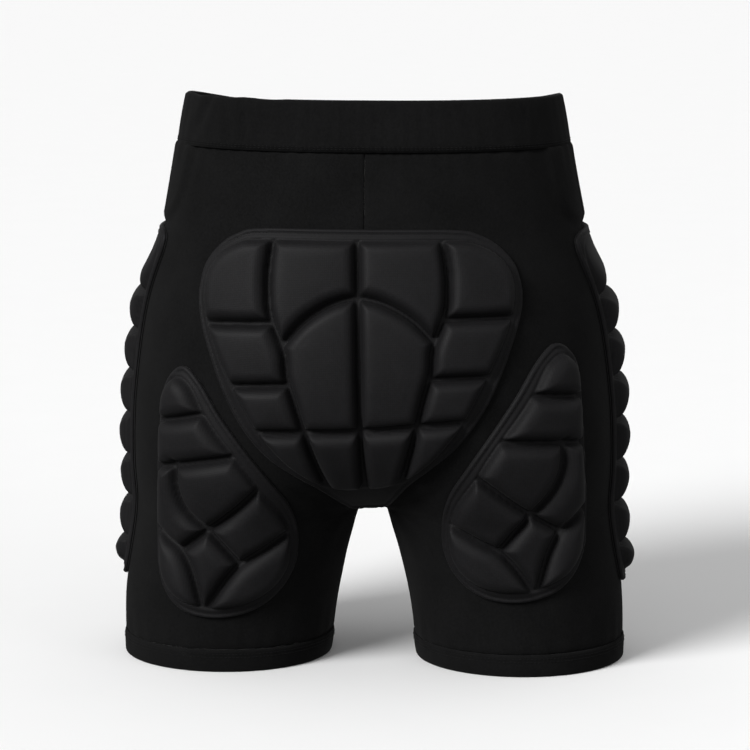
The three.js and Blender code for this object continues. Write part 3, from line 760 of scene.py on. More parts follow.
def finish_named(name):
    """The named material, made once from the colours in the scene."""
    if name in bpy.data.materials:
        return bpy.data.materials[name]
    colours = bpy.context.scene.shorts_colours
    made = {
        "shell knit": lambda: knit_material(name, tuple(colours.shell), 1.05 * MM, 0.85 * MM),
        "band knit": lambda: knit_material(name, tuple(colours.shell), 0.9 * MM, 0.8 * MM),
        "pad cloth": lambda: pad_material(name, tuple(colours.pad)),
        "pad backing": lambda: woven_material(name, tuple(colours.backing), 0.9 * MM),
        "sewing thread": lambda: thread_material(name, tuple(colours.thread)),
        "woven elastic": lambda: woven_material(name, tuple(colours.elastic), 1.6 * MM),
        "satin label": lambda: woven_material(name, tuple(colours.label), 0.5 * MM, 0.5),
        "foam facing": lambda: woven_material(name, tuple(colours.foam), 0.8 * MM),
        "studio floor": lambda: floor_material(name, tuple(colours.floor)),
    }
    return made[name]()


# ---- shared by the operators -----------------------------------------------------------------
class Workshop:
    """The worn form, the cloth sizes and the drape, made from the scene's settings."""

    def __init__(self, scene):
        self.sizes = scene.shorts_sizes
        self.form = WornForm(scene.shorts_shape)
        self.drape = Drape(self.form, self.sizes)


def side_name(side):
    return "left" if side < 0 else "right"


def crowded(count, ends=2):
    """Shares from 0 to 1, closer together at both ends where a seam rolls in."""
    t = np.linspace(0, 1, count)
    extra = np.array([0.002, 0.006]) * ends / 2
    return np.unique(np.concatenate([t, extra, 1 - extra]))


# ---- shell panels ---------------------------------------------------------------------------
GUSSET_TAPER = 62 * MM
SEAM = 0.3 * MM


def centre_gap(form, z):
    """Half the gap that the gusset or the seam leaves between the left and right panels."""
    left = 1 - (z - form.crotch) / GUSSET_TAPER
    return np.maximum(form.shape.crotch_gap / 2 * np.clip(left, 0, 1), SEAM / 2)


def panel_ends(form, heights, facing):
    """Angle about the leg, from the side seam, at which a panel ends at each height."""
    leg_x, leg_y = form.leg_centre(heights)
    start = np.stack([leg_x, leg_y, heights], -1)
    low, high = np.zeros_like(heights), np.full_like(heights, math.pi - 0.002)
    for _ in range(16):
        angle = (low + high) / 2
        direction = np.stack([np.cos(angle), facing * np.sin(angle), 0 * angle], -1)
        beyond = form.reach(start, direction)[..., 0] > centre_gap(form, heights)
        low, high = np.where(beyond, angle, low), np.where(beyond, high, angle)
    return low


def panel_grid(shop, side, facing):
    """Points of a panel on the worn form, from the side seam to the middle, hem to waist."""
    form, sizes = shop.form, shop.sizes
    foot, top = sizes.hem_height + SEAM, WAIST_TOP - sizes.band_height
    arch = form.crotch + GUSSET_TAPER
    levels = np.concatenate([
        foot + (form.crotch - 0.006 - foot) * crowded(34)[:-1],
        form.crotch - 0.006 + (arch + 0.006 - form.crotch) * np.linspace(0, 1, 34)[:-1] ** 1.5,
        arch + (top - arch) * crowded(78),
    ])
    shares = crowded(84)
    sample = np.linspace(foot, top, 260)
    ends = panel_ends(form, sample, facing)
    row = np.broadcast_to(levels[:, None], (len(levels), len(shares)))
    dipped = np.clip((row - arch) / (top - arch), 0, 1)
    z = row.copy()
    for _ in range(4):
        leg_x, leg_y = form.leg_centre(z)
        angle = 0.002 + shares * (np.interp(z, sample, ends) - 0.002)
        direction = np.stack([np.cos(angle), facing * np.sin(angle), 0 * angle], -1)
        p = form.reach(np.stack([leg_x, leg_y, z], -1), direction)
        z = row - dipped * form.waist_dip(p[..., 1])
    p[..., 0] *= side
    return p


def rolled(grid, depth=1.0 * MM, reach=1.5 * MM):
    """How far a panel dips where its edges are sewn."""
    across = np.linalg.norm(np.diff(grid, axis=1), axis=2)
    left = np.concatenate([np.zeros((len(grid), 1)), np.cumsum(across, 1)], 1)
    right = left[:, -1:] - left
    up = np.linalg.norm(np.diff(grid, axis=0), axis=2)
    low = np.concatenate([np.zeros((1, grid.shape[1])), np.cumsum(up, 0)], 0)
    high = low[-1:] - low
    edge = np.minimum(np.minimum(left, right), np.minimum(low, high))
    return -depth * np.exp(-((edge / reach) ** 1.5))


class SHORTS_OT_shell(bpy.types.Operator):
    """Back and front panels of the knitted shell."""

    bl_idname = "shorts.shell"
    bl_label = "Shell panels"

    def execute(self, context):
        shop = Workshop(context.scene)
        for side in (-1, 1):
            for facing, word in ((-1, "back"), (1, "front")):
                grid = panel_grid(shop, side, facing)
                normals = shop.form.normals(grid)
                lift = shop.drape.height(grid) + rolled(grid)
                outer = grid + normals * lift[..., None]
                inner = outer - normals * shop.sizes.shell
                name = f"{word}_panel_{side_name(side)}"
                piece = slab_piece(f"{name}_cloth", shop.form, outer, inner, flat_places(outer))
                finish_piece(piece, finish_named("shell knit"), [name])
                declare_sheet(outer)
        return {"FINISHED"}


class SHORTS_OT_gusset(bpy.types.Operator):
    """The gusset between the legs."""

    bl_idname = "shorts.gusset"
    bl_label = "Crotch gusset"

    def execute(self, context):
        shop = Workshop(context.scene)
        form = shop.form
        pivot_z, pivot_y = form.crotch + form.shape.blend_height, -0.008
        tip = form.crotch + GUSSET_TAPER * 0.8
        shares = np.linspace(-1, 1, 17)

        def arch_points(angles, widths):
            direction = np.stack([0 * angles, np.sin(angles), -np.cos(angles)], -1)
            start = np.stack([widths, np.full_like(widths, pivot_y), np.full_like(widths, pivot_z)], -1)
            return form.reach(start, direction)

        samples = np.linspace(-1.4, 1.4, 200)
        heights = arch_points(samples, np.full_like(samples, 0.003))[:, 2]
        back = np.interp(tip, heights[:100][::-1], samples[:100][::-1])
        front = np.interp(tip, heights[100:], samples[100:])
        angles = np.broadcast_to(np.linspace(back, front, 96)[:, None], (96, len(shares)))
        grid = arch_points(angles, 0 * angles)
        for _ in range(8):
            width = centre_gap(form, grid[..., 2]) - 0.4 * MM
            grid = arch_points(angles, shares * width)
        normals = form.normals(grid)
        outer = grid + normals * (shop.drape.folds(grid) * 0.4 + rolled(grid, 0.8 * MM))[..., None]
        inner = outer - normals * shop.sizes.shell
        piece = slab_piece("crotch_gusset_cloth", form, outer, inner, flat_places(outer))
        finish_piece(piece, finish_named("shell knit"), ["crotch_gusset"])
        declare_sheet(outer)
        return {"FINISHED"}


# ---- hems and waistband -----------------------------------------------------------------------
def fold_outline(height, outside, inside, fold_up, thickness, steps=9):
    """A folded band's section as (stand-off, height): the fold at one end, raw edges at the other."""
    middle, radius = (outside + inside) / 2, (outside - inside) / 2
    turn = np.linspace(0, math.pi, steps)
    outer_fold = [(middle + radius * math.cos(a), radius * math.sin(a)) for a in turn]
    shrink = max(radius - thickness, 0.1 * MM)
    inner_fold = [(middle + shrink * math.cos(a), shrink * math.sin(a)) for a in turn[::-1]]
    legs = np.linspace(0, 1, 8)[:-1]
    out_leg = [(outside, -(height - radius) * (1 - t)) for t in legs]
    in_leg = [(inside, -(height - radius) * t) for t in np.linspace(0, 1, 8)[1:]]
    in_back = [(inside + thickness, -(height - radius) * (1 - t)) for t in legs]
    out_back = [(outside - thickness, -(height - radius) * t) for t in np.linspace(0, 1, 8)[1:]]
    outline = np.array(out_leg + outer_fold + in_leg + in_back + inner_fold + out_back)
    outline[:, 1] += height - radius
    if not fold_up:
        outline[:, 1] = height - outline[:, 1]
    return outline


class SHORTS_OT_hems(bpy.types.Operator):
    """The two folded leg hems and their twin rows of stitching."""

    bl_idname = "shorts.hems"
    bl_label = "Leg hems"
    turns = 190

    def execute(self, context):
        shop = Workshop(context.scene)
        form, sizes = shop.form, shop.sizes
        outline = fold_outline(sizes.hem_height, 0.5 * MM, -2.3 * MM, False, 1.1 * MM)
        angle = np.arange(self.turns) * 2 * math.pi / self.turns
        for side in (-1, 1):
            z = np.clip(outline[None, :, 1] + 0 * angle[:, None], 0, None)
            leg_x, leg_y = form.leg_centre(z)
            direction = np.stack([
                np.cos(angle)[:, None] + 0 * z, np.sin(angle)[:, None] + 0 * z, 0 * z,
            ], -1)
            p = form.reach(np.stack([leg_x, leg_y, z], -1), direction)
            ripple = 0.22 * MM * np.cos(30 * angle + 1.5 * np.sin(3 * angle))[:, None]
            ripple = ripple * smoothstep(0.004, 0.018, z)
            bulge = 0.45 * MM * np.sin(np.clip(z / sizes.hem_height, 0, 1) * math.pi)
            normal = form.normals(p)
            normal[..., 2] = 0
            normal /= np.linalg.norm(normal, axis=-1, keepdims=True)
            p = p + normal * (outline[None, :, 0] + ripple + bulge)[..., None]
            p[..., 2] = z
            p[..., 0] *= side
            around = angle[:, None] * sizes.hem_height * 4.6 + 0 * z
            name = f"leg_hem_{side_name(side)}"
            piece = hoop_piece(f"{name}_band", form, p, np.stack([around, z, 0 * z], -1))
            finish_piece(piece, finish_named("shell knit"), [name])
            rows = [sizes.hem_height * share for share in (0.68, 0.82)]
            for row, height in enumerate(rows):
                k = int(np.argmin(np.abs(outline[:7, 1] - height)))
                path, across = p[:, k].copy(), normal[:, k].copy()
                share = (height - outline[k, 1]) / (outline[k + 1, 1] - outline[k, 1])
                path += (p[:, k + 1] - path) * share
                across[:, 0] *= side
                path = np.concatenate([path, path[:1]]) + 0.12 * MM * np.concatenate([across, across[:1]])
                across = np.concatenate([across, across[:1]])
                thread = stitches(f"{name}_stitching_{row + 1}", form, path, across)
                finish_piece(thread, finish_named("sewing thread"))
        return {"FINISHED"}


class SHORTS_OT_waistband(bpy.types.Operator):
    """The folded waistband, the elastic inside it and the stitching along its foot."""

    bl_idname = "shorts.waistband"
    bl_label = "Waistband"
    turns = 320
    # Gathers where the band has bunched: x at the top and at the foot, depth, half width.
    tucks = (
        (-109.5, -105.0, 1.6, 2.0), (-95.5, -92.0, 1.8, 2.2),
        (-121.0, -138.0, 1.3, 3.2), (119.0, 121.0, 0.6, 1.5),
    )

    def tuck_depth(self, p, share):
        """How far the outer cloth is drawn in; share is 0 at the band's foot and 1 at its top."""
        drawn = np.zeros(share.shape)
        for top_x, foot_x, depth, half in self.tucks:
            line_x = (foot_x + (top_x - foot_x) * share) * MM
            off = (p[..., 0] - line_x) / (half * MM)
            drawn -= depth * MM * np.exp(-off**2) * smoothstep(0.02, 0.45, share)
            drawn += 0.55 * depth * MM * np.exp(-((np.abs(off) - 2.1) ** 2)) * smoothstep(0.02, 0.45, share)
        return np.where(p[..., 1] < 0, drawn, 0)

    def hoop(self, shop, outline, ripples):
        form, sizes = shop.form, shop.sizes
        angle = np.arange(self.turns) * 2 * math.pi / self.turns
        direction = np.stack([np.cos(angle), np.sin(angle), 0 * angle], -1)
        middle = WAIST_TOP - sizes.band_height / 2
        dip = form.waist_dip(form.reach(np.array([0, 0, middle]), direction)[:, 1])
        z = WAIST_TOP - sizes.band_height - dip[:, None] + outline[None, :, 1]
        start = np.stack([0 * z, 0 * z, z], -1)
        p = form.reach(start, direction[:, None, :] + 0 * start)
        normal = form.normals(p)
        normal[..., 2] = 0
        normal /= np.linalg.norm(normal, axis=-1, keepdims=True)
        share = np.clip(outline[None, :, 1] / sizes.band_height, 0, 1) + 0 * z
        stand = outline[None, :, 0] + 0 * z
        if ripples:
            outer = smoothstep(-2.0 * MM, 0.5 * MM, stand)
            waves = 0.16 * MM * np.cos(70 * angle + 2.4 * np.sin(4 * angle))[:, None]
            swell = 0.5 * MM * np.sin(share * math.pi)
            stand = stand + outer * (waves + swell + self.tuck_depth(p, share))
            crown = 0.5 * MM * np.sin(23 * angle + np.sin(7 * angle))[:, None]
            z = z + crown * smoothstep(0.93, 1.0, share) * (p[..., 0] < -0.06) * (p[..., 1] < 0)
        p = p + normal * stand[..., None]
        p[..., 2] = z
        around = angle[:, None] * 0.13 + 0 * z
        return p, normal, np.stack([around, z, 0 * z], -1)

    def execute(self, context):
        shop = Workshop(context.scene)
        sizes = shop.sizes
        outline = fold_outline(sizes.band_height - SEAM, 1.5 * MM, -3.4 * MM, True, 1.1 * MM)
        p, normal, cloth = self.hoop(shop, outline, ripples=True)
        band = hoop_piece("waistband_cloth", shop.form, p, cloth)
        finish_piece(band, finish_named("band knit"), ["waistband"])

        low, high, face, back = 3 * MM, sizes.band_height - 3.4 * MM, -1.2 * MM, -2.6 * MM
        climb = np.linspace(low, high, 10)
        elastic = np.array([(face, z) for z in climb] + [(back, z) for z in climb[::-1]])
        q, _, places = self.hoop(shop, elastic, ripples=False)
        strap = hoop_piece("waist_elastic_webbing", shop.form, q, places)
        finish_piece(strap, finish_named("woven elastic"), ["waist_elastic"])

        for row, height in enumerate((2.2 * MM, 3.8 * MM)):
            k = 0
            share = height / outline[1, 1]
            path = p[:, k] + (p[:, k + 1] - p[:, k]) * share + 0.1 * MM * normal[:, k]
            path, across = np.concatenate([path, path[:1]]), np.concatenate([normal[:, k], normal[:1, k]])
            thread = stitches(f"waistband_stitching_{row + 1}", shop.form, path, across, pitch=3.4 * MM)
            finish_piece(thread, finish_named("sewing thread"))
        return {"FINISHED"}


class SHORTS_OT_label(bpy.types.Operator):
    """The blank care label inside the back of the waist."""

    bl_idname = "shorts.label"
    bl_label = "Care label"

    def execute(self, context):
        shop = Workshop(context.scene)
        low, high = (Vector(corner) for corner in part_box("care_label"))
        x = np.linspace(low.x, high.x, 16)
        z = np.linspace(low.z, high.z, 22)
        grid_x, grid_z = np.meshgrid(x, z)
        p = shop.form.back(grid_x, grid_z)
        normal = shop.form.normals(p)
        hang = (high.z - grid_z) / (high.z - low.z)
        curl = 1.2 * MM * hang**2 * (1 + 0.5 * np.sin(grid_x / 0.006)) + 0.4 * MM * np.sin(hang * 5)
        outer = p - normal * (2.6 * MM + curl * 0.8)[..., None]
        inner = outer - normal * 0.35 * MM
        piece = slab_piece("care_label_tape", shop.form, outer, inner, flat_places(outer))
        finish_piece(piece, finish_named("satin label"), ["care_label"])
        declare_sheet(outer)
        return {"FINISHED"}


# ---- pads -------------------------------------------------------------------------------------
PAD_SPACING = 1.1 * MM        # of a cover's points
BACKING_SPACING = 3.2 * MM    # of a backing's points
PAD_STANDOFF = 0.3 * MM
BACKING = 0.9 * MM
COVER_GAP = 0.1 * MM
STITCH_INSET = 3.4 * MM
STITCH_SINK = 0.72            # share of the flange's height that the stitching lies at
CROWN_BLOCK = 40 * MM         # a square block this wide has a full crown
SQUARE_FILM = 0.0737          # height of a film's middle over a square, for the square's side squared


class PadLattice:
    """A fine square lattice over a pad, with its outer points drawn onto the pad's edge."""

    def __init__(self, pattern, spacing):
        low, high = pattern.edge.min(0) - spacing, pattern.edge.max(0) + spacing
        across = np.arange(low[0], high[0] + spacing, spacing)
        up = np.arange(low[1], high[1] + spacing, spacing)
        places = np.stack(np.meshgrid(across, up), -1)
        distance, nearest = to_line(places, pattern.edge)
        signed = np.where(inside_line(places, pattern.edge), distance, -distance)
        enough = signed > -0.5 * spacing
        self.keep = enough[:-1, :-1] & enough[1:, :-1] & enough[:-1, 1:] & enough[1:, 1:]
        held = np.pad(self.keep, 1)
        touching = held[:-1, :-1] | held[1:, :-1] | held[:-1, 1:] | held[1:, 1:]
        whole = held[:-1, :-1] & held[1:, :-1] & held[:-1, 1:] & held[1:, 1:]
        rim = touching & ~whole
        self.places = np.where(rim[..., None], nearest, places)
        self.from_edge = np.where(rim, 0, np.maximum(signed, 0))
        self.spacing = spacing


def cushion(solid, spacing, rounds=700):
    """Height of a skin blown up between its sewn places, like a soap film: 0 where it isn't solid."""
    film = np.zeros(solid.shape)
    load = spacing**2
    for _ in range(rounds):
        total = film[1:-1, :-2] + film[1:-1, 2:] + film[:-2, 1:-1] + film[2:, 1:-1]
        film[1:-1, 1:-1] = np.where(solid[1:-1, 1:-1], (total + load) / 4, 0)
    return film


def softened(values, rounds=1):
    """Takes the sharp edge off a height map."""
    for _ in range(rounds):
        spread = np.pad(values, 1, mode="edge")
        values = (
            4 * values + spread[:-2, 1:-1] + spread[2:, 1:-1] + spread[1:-1, :-2] + spread[1:-1, 2:]
        ) / 8
    return values


def pad_heights(pattern, lattice, sizes):
    """Height of a pad's cloth over its backing, where it is sewn down, and a mask of its raised edges for rub wear
    and painted highlight.
    """
    places = lattice.places
    into_blocks = depth_inside(places, pattern.blocks)
    off_channel = np.full(places.shape[:-1], 1.0)
    for channel in pattern.channels:
        off_channel = np.minimum(off_channel, to_line(places, channel, closed=False)[0])
    off_channel = off_channel - sizes.channel / 2
    climb = lambda depth, width: np.sqrt(1 - (1 - np.clip(depth / width, 0, 1)) ** 2)
    rise = np.minimum(climb(off_channel, pattern.wall), climb(into_blocks, pattern.ends))
    solid = (off_channel > 0) & (into_blocks > 0)
    film = cushion(solid, lattice.spacing)
    crown = np.sqrt(film / (SQUARE_FILM * CROWN_BLOCK**2))
    nearest = np.minimum(off_channel, into_blocks)
    ridge = lambda distance, width: np.exp(-((distance / width) ** 2))
    lip = ridge(lattice.from_edge - 1.5 * MM, 1.2 * MM)
    welt = ridge(into_blocks + 2.2 * MM, 1.1 * MM)
    stitch_groove = ridge(lattice.from_edge - STITCH_INSET, 0.9 * MM)
    flange = sizes.flange * (0.3 + 0.7 * climb(lattice.from_edge, 1.3 * MM))
    flange = flange + 0.5 * MM * lip + 0.8 * MM * welt
    flange -= 0.9 * MM * stitch_groove
    flange -= 0.7 * MM * ridge(nearest, 0.8 * MM)
    foam = sizes.block * rise + sizes.crown * np.minimum(crown, 1.15)
    if pattern.thin_top:
        top, span = pattern.thin_top
        foam = foam * (0.05 + 0.95 * smoothstep(0.1 * span, 1.35 * span, top - places[..., 1]))
    heights = flange + foam
    # mask of block shoulders, lip and welt, used for rub wear and painted highlight in the pad cloth
    shoulder = rise * ridge(nearest - 0.8 * pattern.wall, 0.6 * pattern.wall)
    return softened(heights), solid, np.clip(shoulder + 0.5 * (lip + welt), 0, 1)


def puffed(name, form, base, normals, heights, solid):
    """Lets a cover swell under pressure between its sewn places, and returns how far it moved."""
    step = 3
    rows, columns = np.arange(0, heights.shape[0], step), np.arange(0, heights.shape[1], step)
    pick = np.ix_(rows, columns)
    points = (base + normals * heights[..., None])[pick]
    loose = solid[pick]
    square = loose[:-1, :-1] | loose[1:, :-1] | loose[:-1, 1:] | loose[1:, 1:]
    index = np.arange(points.shape[0] * points.shape[1]).reshape(points.shape[:2])
    quads = np.stack([index[:-1, :-1], index[:-1, 1:], index[1:, 1:], index[1:, :-1]], -1)[square]
    mesh = bpy.data.meshes.new(f"{name}_swelling")
    mesh.from_pydata((points.reshape(-1, 3) + form.shift).tolist(), [], quads.tolist())
    skin = bpy.data.objects.new(f"{name}_swelling", mesh)
    bpy.context.collection.objects.link(skin)
    sewn = skin.vertex_groups.new(name="sewn")
    sewn.add([int(k) for k in index[~loose]], 1.0, "REPLACE")
    swell = skin.modifiers.new("swell", "CLOTH")
    cloth = swell.settings
    cloth.quality = 6
    cloth.mass = 0.25
    cloth.tension_stiffness = cloth.compression_stiffness = 22
    cloth.shear_stiffness = 12
    cloth.bending_stiffness = 0.6
    cloth.vertex_group_mass = "sewn"
    cloth.use_pressure = True
    cloth.uniform_pressure_force = 5.5
    cloth.effector_weights.gravity = 0
    swell.collision_settings.use_collision = False
    last = 16
    scene = bpy.context.scene
    swell.point_cache.frame_end = last
    for number in range(1, last + 1):
        scene.frame_set(number)
    settled = skin.evaluated_get(bpy.context.evaluated_depsgraph_get())
    moved = np.empty(len(mesh.vertices) * 3, np.float32)
    settled.data.vertices.foreach_get("co", moved)
    moved = moved.reshape(points.shape) - form.shift - points
    bpy.data.objects.remove(skin)
    bpy.data.meshes.remove(mesh)
    scene.frame_set(1)
    swing = np.clip((moved * normals[pick]).sum(-1), -1.5 * MM, 2.2 * MM) * loose
    fine_rows = np.stack([np.interp(np.arange(heights.shape[1]), columns, line) for line in swing])
    fine = np.stack([np.interp(np.arange(heights.shape[0]), rows, line) for line in fine_rows.T]).T
    return fine * solid


def edge_path(pattern, inset, surface, form):
    """A path just inside a pad's edge, for its stitching, and the normals along it."""
    line = pattern.edge
    step = np.roll(line, -1, 0) - np.roll(line, 1, 0)
    sideways = np.stack([-step[:, 1], step[:, 0]], -1)
    sideways /= np.linalg.norm(sideways, axis=1, keepdims=True)
    moved = line + sideways * inset
    if not inside_line(moved, line).all():
        moved = line - sideways * inset
    moved = np.concatenate([moved, moved[:1]])
    p = surface(moved)
    return p, form.normals(p)


def build_pad(shop, name, pattern, surface, replaced, backing_node):
    """A pad's backing, its swollen cover and the stitching round its edge."""
    form, sizes = shop.form, shop.sizes
    lattice = PadLattice(pattern, PAD_SPACING)
    base = surface(lattice.places)
    normals = form.normals(base)
    base = base + normals * (shop.drape.hip_swell(base) + PAD_STANDOFF)[..., None]
    heights, solid, wear_and_highlight = pad_heights(pattern, lattice, sizes)
    floor_of = BACKING + COVER_GAP
    outer_base = base + normals * floor_of
    heights = heights + softened(
        puffed(name, form, outer_base, normals, heights, solid), 3
    )
    outer = outer_base + normals * heights[..., None]
    # the third value of each place carries the rub wear and painted highlight mask
    cloth = np.concatenate([lattice.places, wear_and_highlight[..., None]], -1)
    cover = slab_piece(f"{name}_cover", form, outer, outer_base, cloth, lattice.keep)
    finish_piece(cover, finish_named("pad cloth"), replaced)

    coarse = PadLattice(pattern, BACKING_SPACING)
    under = surface(coarse.places)
    coarse_normals = form.normals(under)
    under = under + coarse_normals * (shop.drape.hip_swell(under) + PAD_STANDOFF)[..., None]
    top = under + coarse_normals * BACKING
    places = np.concatenate([coarse.places, np.zeros((*coarse.places.shape[:2], 1))], -1)
    backing = slab_piece(f"{name}_backing_cloth", form, top, under, places, coarse.keep)
    finish_piece(backing, finish_named("pad backing"), [backing_node])

    path, across = edge_path(pattern, STITCH_INSET, surface, form)
    lift = shop.drape.hip_swell(path) + PAD_STANDOFF + floor_of + STITCH_SINK * sizes.flange
    thread = stitches(f"{name}_stitching", form, path + across * lift[:, None], across)
    finish_piece(thread, finish_named("sewing thread"))


SEAT_CELLS = ("top_inner", "top_outer", "side_upper", "side_lower", "centre", "bottom_inner", "bottom_outer")
THIGH_CELLS = (
    "cap", "upper", "shield", "outer_strip", "inner_diamond", "lower_diamond", "outer_crescent",
    "inner_crescent",
)


class SHORTS_OT_seat_pad(bpy.types.Operator):
    """The seat pad: one cloth bonded over fourteen foam blocks."""

    bl_idname = "shorts.seat_pad"
    bl_label = "Seat pad"

    def execute(self, context):
        shop = Workshop(context.scene)
        nodes = [f"seat_block_{cell}_{side_name(side)}" for side in (-1, 1) for cell in SEAT_CELLS]
        surface = lambda places: shop.form.back(places[..., 0], places[..., 1])
        build_pad(shop, "seat_pad", seat_pattern(shop.sizes), surface, nodes, "seat_pad_backing")
        return {"FINISHED"}


class SHORTS_OT_thigh_pads(bpy.types.Operator):
    """The two thigh pads: eight foam blocks each, round a star point."""

    bl_idname = "shorts.thigh_pads"
    bl_label = "Thigh pads"

    def execute(self, context):
        shop = Workshop(context.scene)
        surface = lambda places: shop.form.back(places[..., 0], places[..., 1])
        for side in (-1, 1):
            word = side_name(side)
            nodes = [f"thigh_block_{cell}_{word}" for cell in THIGH_CELLS]
            pattern = thigh_pattern(shop.sizes, side)
            build_pad(shop, f"thigh_pad_{word}", pattern, surface, nodes, f"thigh_pad_backing_{word}")
        return {"FINISHED"}


class SHORTS_OT_side_pads(bpy.types.Operator):
    """The two side pads: a strip of bars down each hip and thigh."""

    bl_idname = "shorts.side_pads"
    bl_label = "Side pads"

    def execute(self, context):
        shop = Workshop(context.scene)
        for side in (-1, 1):
            word = side_name(side)
            surface = lambda places, side=side: shop.form.flank(side, places[..., 0], places[..., 1])
            pattern = side_pattern()
            build_pad(
                shop, f"side_pad_{word}", pattern, surface, [f"side_pad_foam_{word}"],
                f"side_pad_backing_{word}",
            )
        return {"FINISHED"}


class SHORTS_OT_hip_pads(bpy.types.Operator):
    """The thin foam pads inside the shell, under the waistband at each hip."""

    bl_idname = "shorts.hip_pads"
    bl_label = "Hip pads"

    def execute(self, context):
        shop = Workshop(context.scene)
        form = shop.form
        for side in (-1, 1):
            node = f"hip_pad_{side_name(side)}"
            low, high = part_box(node)
            y = np.linspace(low[1], high[1], 56) - form.shift[1]
            z = np.linspace(low[2], high[2], 30)
            grid_y, grid_z = np.meshgrid(y, z)
            across = np.abs(2 * (grid_y - y[0]) / (y[-1] - y[0]) - 1)
            up = np.abs(2 * (grid_z - z[0]) / (z[-1] - z[0]) - 1)
            corner = (across**5 + up**5) ** 0.2
            shrink = np.maximum(across, up) / np.maximum(corner, 1e-6)
            middle_y, middle_z = y.mean(), z.mean()
            grid_y = middle_y + (grid_y - middle_y) * shrink
            grid_z = middle_z + (grid_z - middle_z) * shrink
            p = form.flank(side, grid_y, grid_z)
            normal = form.normals(p)
            crown = 1 - np.maximum(across, up) ** 3
            top = shop.sizes.shell + 0.4 * MM - shop.drape.hip_swell(p)
            outer = p - normal * top[..., None]
            inner = outer - normal * (2.2 * MM + 3.6 * MM * crown)[..., None]
            piece = slab_piece(f"{node}_foam", form, outer, inner, flat_places(outer))
            finish_piece(piece, finish_named("foam facing"), [node])
        return {"FINISHED"}


# ---- stage ------------------------------------------------------------------------------------
class StageSettings(bpy.types.PropertyGroup):
    """Where the camera stands and how bright the studio is."""

    azimuth: bpy.props.FloatProperty(
        name="Azimuth", description="Camera's turn to the right", default=math.radians(4.0), subtype="ANGLE"
    )
    distance: length("Distance", 2700, "Camera to the middle of the shorts")
    height: length("Camera height", 680, "Camera above the floor")
    aim: length("Aim height", 225, "Height that the camera looks at")
    view_width: length("View width", 600, "Width of the view at the shorts")
    room: bpy.props.FloatProperty(
        name="Room", description="Strength of the even light from above", default=0.5
    )
    shade: bpy.props.FloatProperty(
        name="Shade", description="Strength of the even light from below", default=0.22
    )
    key: bpy.props.FloatProperty(name="Key light", description="Strength of the main soft light", default=3.4)
    key_softness: bpy.props.FloatProperty(
        name="Key softness", description="Angle that the main light fills", default=math.radians(24),
        subtype="ANGLE",
    )
    fill: bpy.props.FloatProperty(
        name="Fill light", description="Watts of the weaker soft light", default=9.0
    )


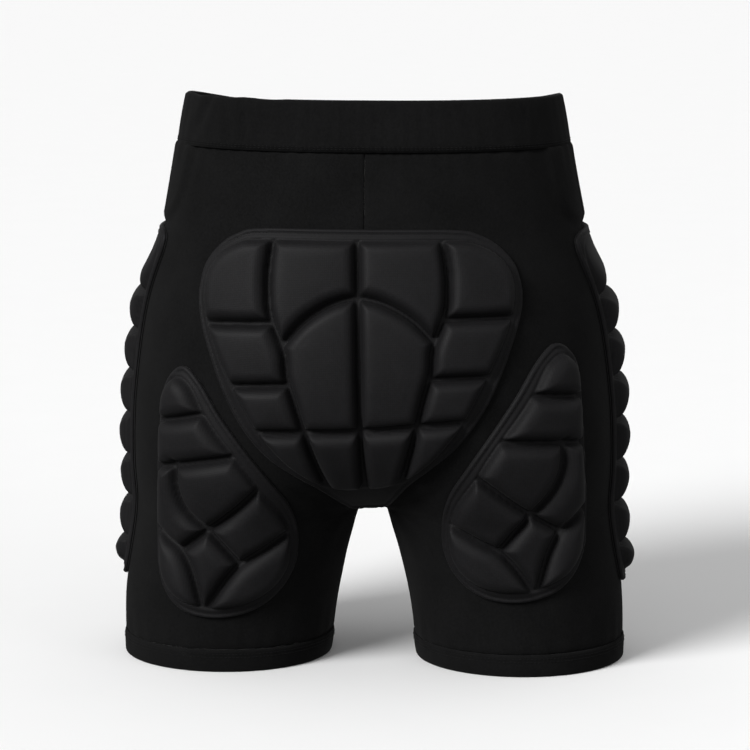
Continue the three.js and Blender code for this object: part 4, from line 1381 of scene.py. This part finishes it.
class SHORTS_OT_stage(bpy.types.Operator):
    """Camera, lights and a pale floor."""

    bl_idname = "shorts.stage"
    bl_label = "Stage"
    floor_half_width = 30.0
    floor_drop = 0.2 * MM
    key_direction = (1.75, 2.0, -1.6)
    fill_place = (2.0, -1.8, 1.2)
    fill_size = 1.6
    sensor_width = 36
    framing_shift = 0.0013

    def soft_light(self, name, place, aim, size, watts):
        """A round lamp turned to the point it lights."""
        lamp = bpy.data.lights.new(name, "AREA")
        lamp.shape, lamp.size, lamp.energy = "DISK", size, watts
        light = bpy.data.objects.new(name, lamp)
        light.location = place
        light.rotation_euler = (Vector(aim) - Vector(place)).to_track_quat("-Z", "Y").to_euler()
        bpy.context.collection.objects.link(light)

    def room(self, stage):
        """Even light from all round, less of it from below."""
        studio = NodeTree(bpy.data.worlds.new("studio"))
        view = studio.node("ShaderNodeTexCoord", out="Generated")
        height = studio.node("ShaderNodeSeparateXYZ", None, {0: view}, out="Z")
        strength = studio.node("ShaderNodeMapRange", {"interpolation_type": "SMOOTHSTEP"}, {
            "Value": height, "From Min": -0.3, "From Max": 0.6, "To Min": stage.shade, "To Max": stage.room,
        })
        background = studio.node("ShaderNodeBackground", None, {"Color": (1, 1, 1, 1), "Strength": strength})
        return studio.output("ShaderNodeOutputWorld", background)

    def execute(self, context):
        stage, scene = context.scene.shorts_stage, context.scene
        side = self.floor_half_width
        mesh = bpy.data.meshes.new("studio_floor")
        corners = [(x * side, y * side, -self.floor_drop) for x, y in ((-1, -1), (1, -1), (1, 1), (-1, 1))]
        mesh.from_pydata(corners, [], [(0, 1, 2, 3)])
        floor = bpy.data.objects.new("studio_floor", mesh)
        mesh.materials.append(finish_named("studio floor"))
        bpy.context.collection.objects.link(floor)

        hips = Vector((0, float(WornForm(scene.shorts_shape).shift[1]), 0))
        aim = hips + Vector((0, 0, stage.aim))
        floor.visible_diffuse = floor.visible_glossy = False
        key = bpy.data.lights.new("key_light", "SUN")
        key.energy, key.angle = stage.key, stage.key_softness
        sun = bpy.data.objects.new("key_light", key)
        sun.rotation_euler = Vector(self.key_direction).to_track_quat("-Z", "Y").to_euler()
        bpy.context.collection.objects.link(sun)
        self.soft_light("fill_light", self.fill_place, aim, self.fill_size, stage.fill)
        scene.world = self.room(stage)
        scene.view_settings.view_transform = "Standard"

        lens = bpy.data.cameras.new("camera")
        camera = bpy.data.objects.new("camera", lens)
        place = Vector((
            stage.distance * math.sin(stage.azimuth), -stage.distance * math.cos(stage.azimuth), stage.height,
        )) + hips
        camera.location = place
        camera.rotation_euler = (aim - place).to_track_quat("-Z", "Y").to_euler()
        lens.sensor_width = self.sensor_width
        lens.lens = self.sensor_width * (aim - place).length / stage.view_width
        lens.shift_x = self.framing_shift
        lens.clip_end = 100
        bpy.context.collection.objects.link(camera)
        scene.camera = camera
        return {"FINISHED"}


class SHORTS_PT_panel(bpy.types.Panel):
    """Lists the pieces of the shorts."""

    bl_idname = "SHORTS_PT_panel"
    bl_label = "Padded Impact Shorts"
    bl_space_type = "VIEW_3D"
    bl_region_type = "UI"
    bl_category = "Shorts"

    def draw(self, context):
        for operator in OPERATORS:
            self.layout.operator(operator.bl_idname)
        for group in ("shorts_shape", "shorts_sizes", "shorts_colours", "shorts_stage"):
            settings = getattr(context.scene, group)
            box = self.layout.box()
            for name in settings.__annotations__:
                box.prop(settings, name)


OPERATORS = (
    SHORTS_OT_stage, SHORTS_OT_shell, SHORTS_OT_gusset, SHORTS_OT_hems, SHORTS_OT_waistband, SHORTS_OT_label,
    SHORTS_OT_seat_pad, SHORTS_OT_thigh_pads, SHORTS_OT_side_pads, SHORTS_OT_hip_pads,
)
GROUPS = {
    "shorts_shape": WornShape, "shorts_sizes": ClothSizes, "shorts_colours": ClothColours,
    "shorts_stage": StageSettings,
}


def register():
    for cls in (*GROUPS.values(), *OPERATORS, SHORTS_PT_panel):
        bpy.utils.register_class(cls)
    for name, group in GROUPS.items():
        setattr(bpy.types.Scene, name, bpy.props.PointerProperty(type=group))


def unregister():
    for name in GROUPS:
        delattr(bpy.types.Scene, name)
    for cls in reversed((*GROUPS.values(), *OPERATORS, SHORTS_PT_panel)):
        bpy.utils.unregister_class(cls)


def main():
    register()
    for operator in OPERATORS:
        getattr(bpy.ops.shorts, operator.bl_idname.split(".")[1])()


if __name__ == "__main__":
    main()
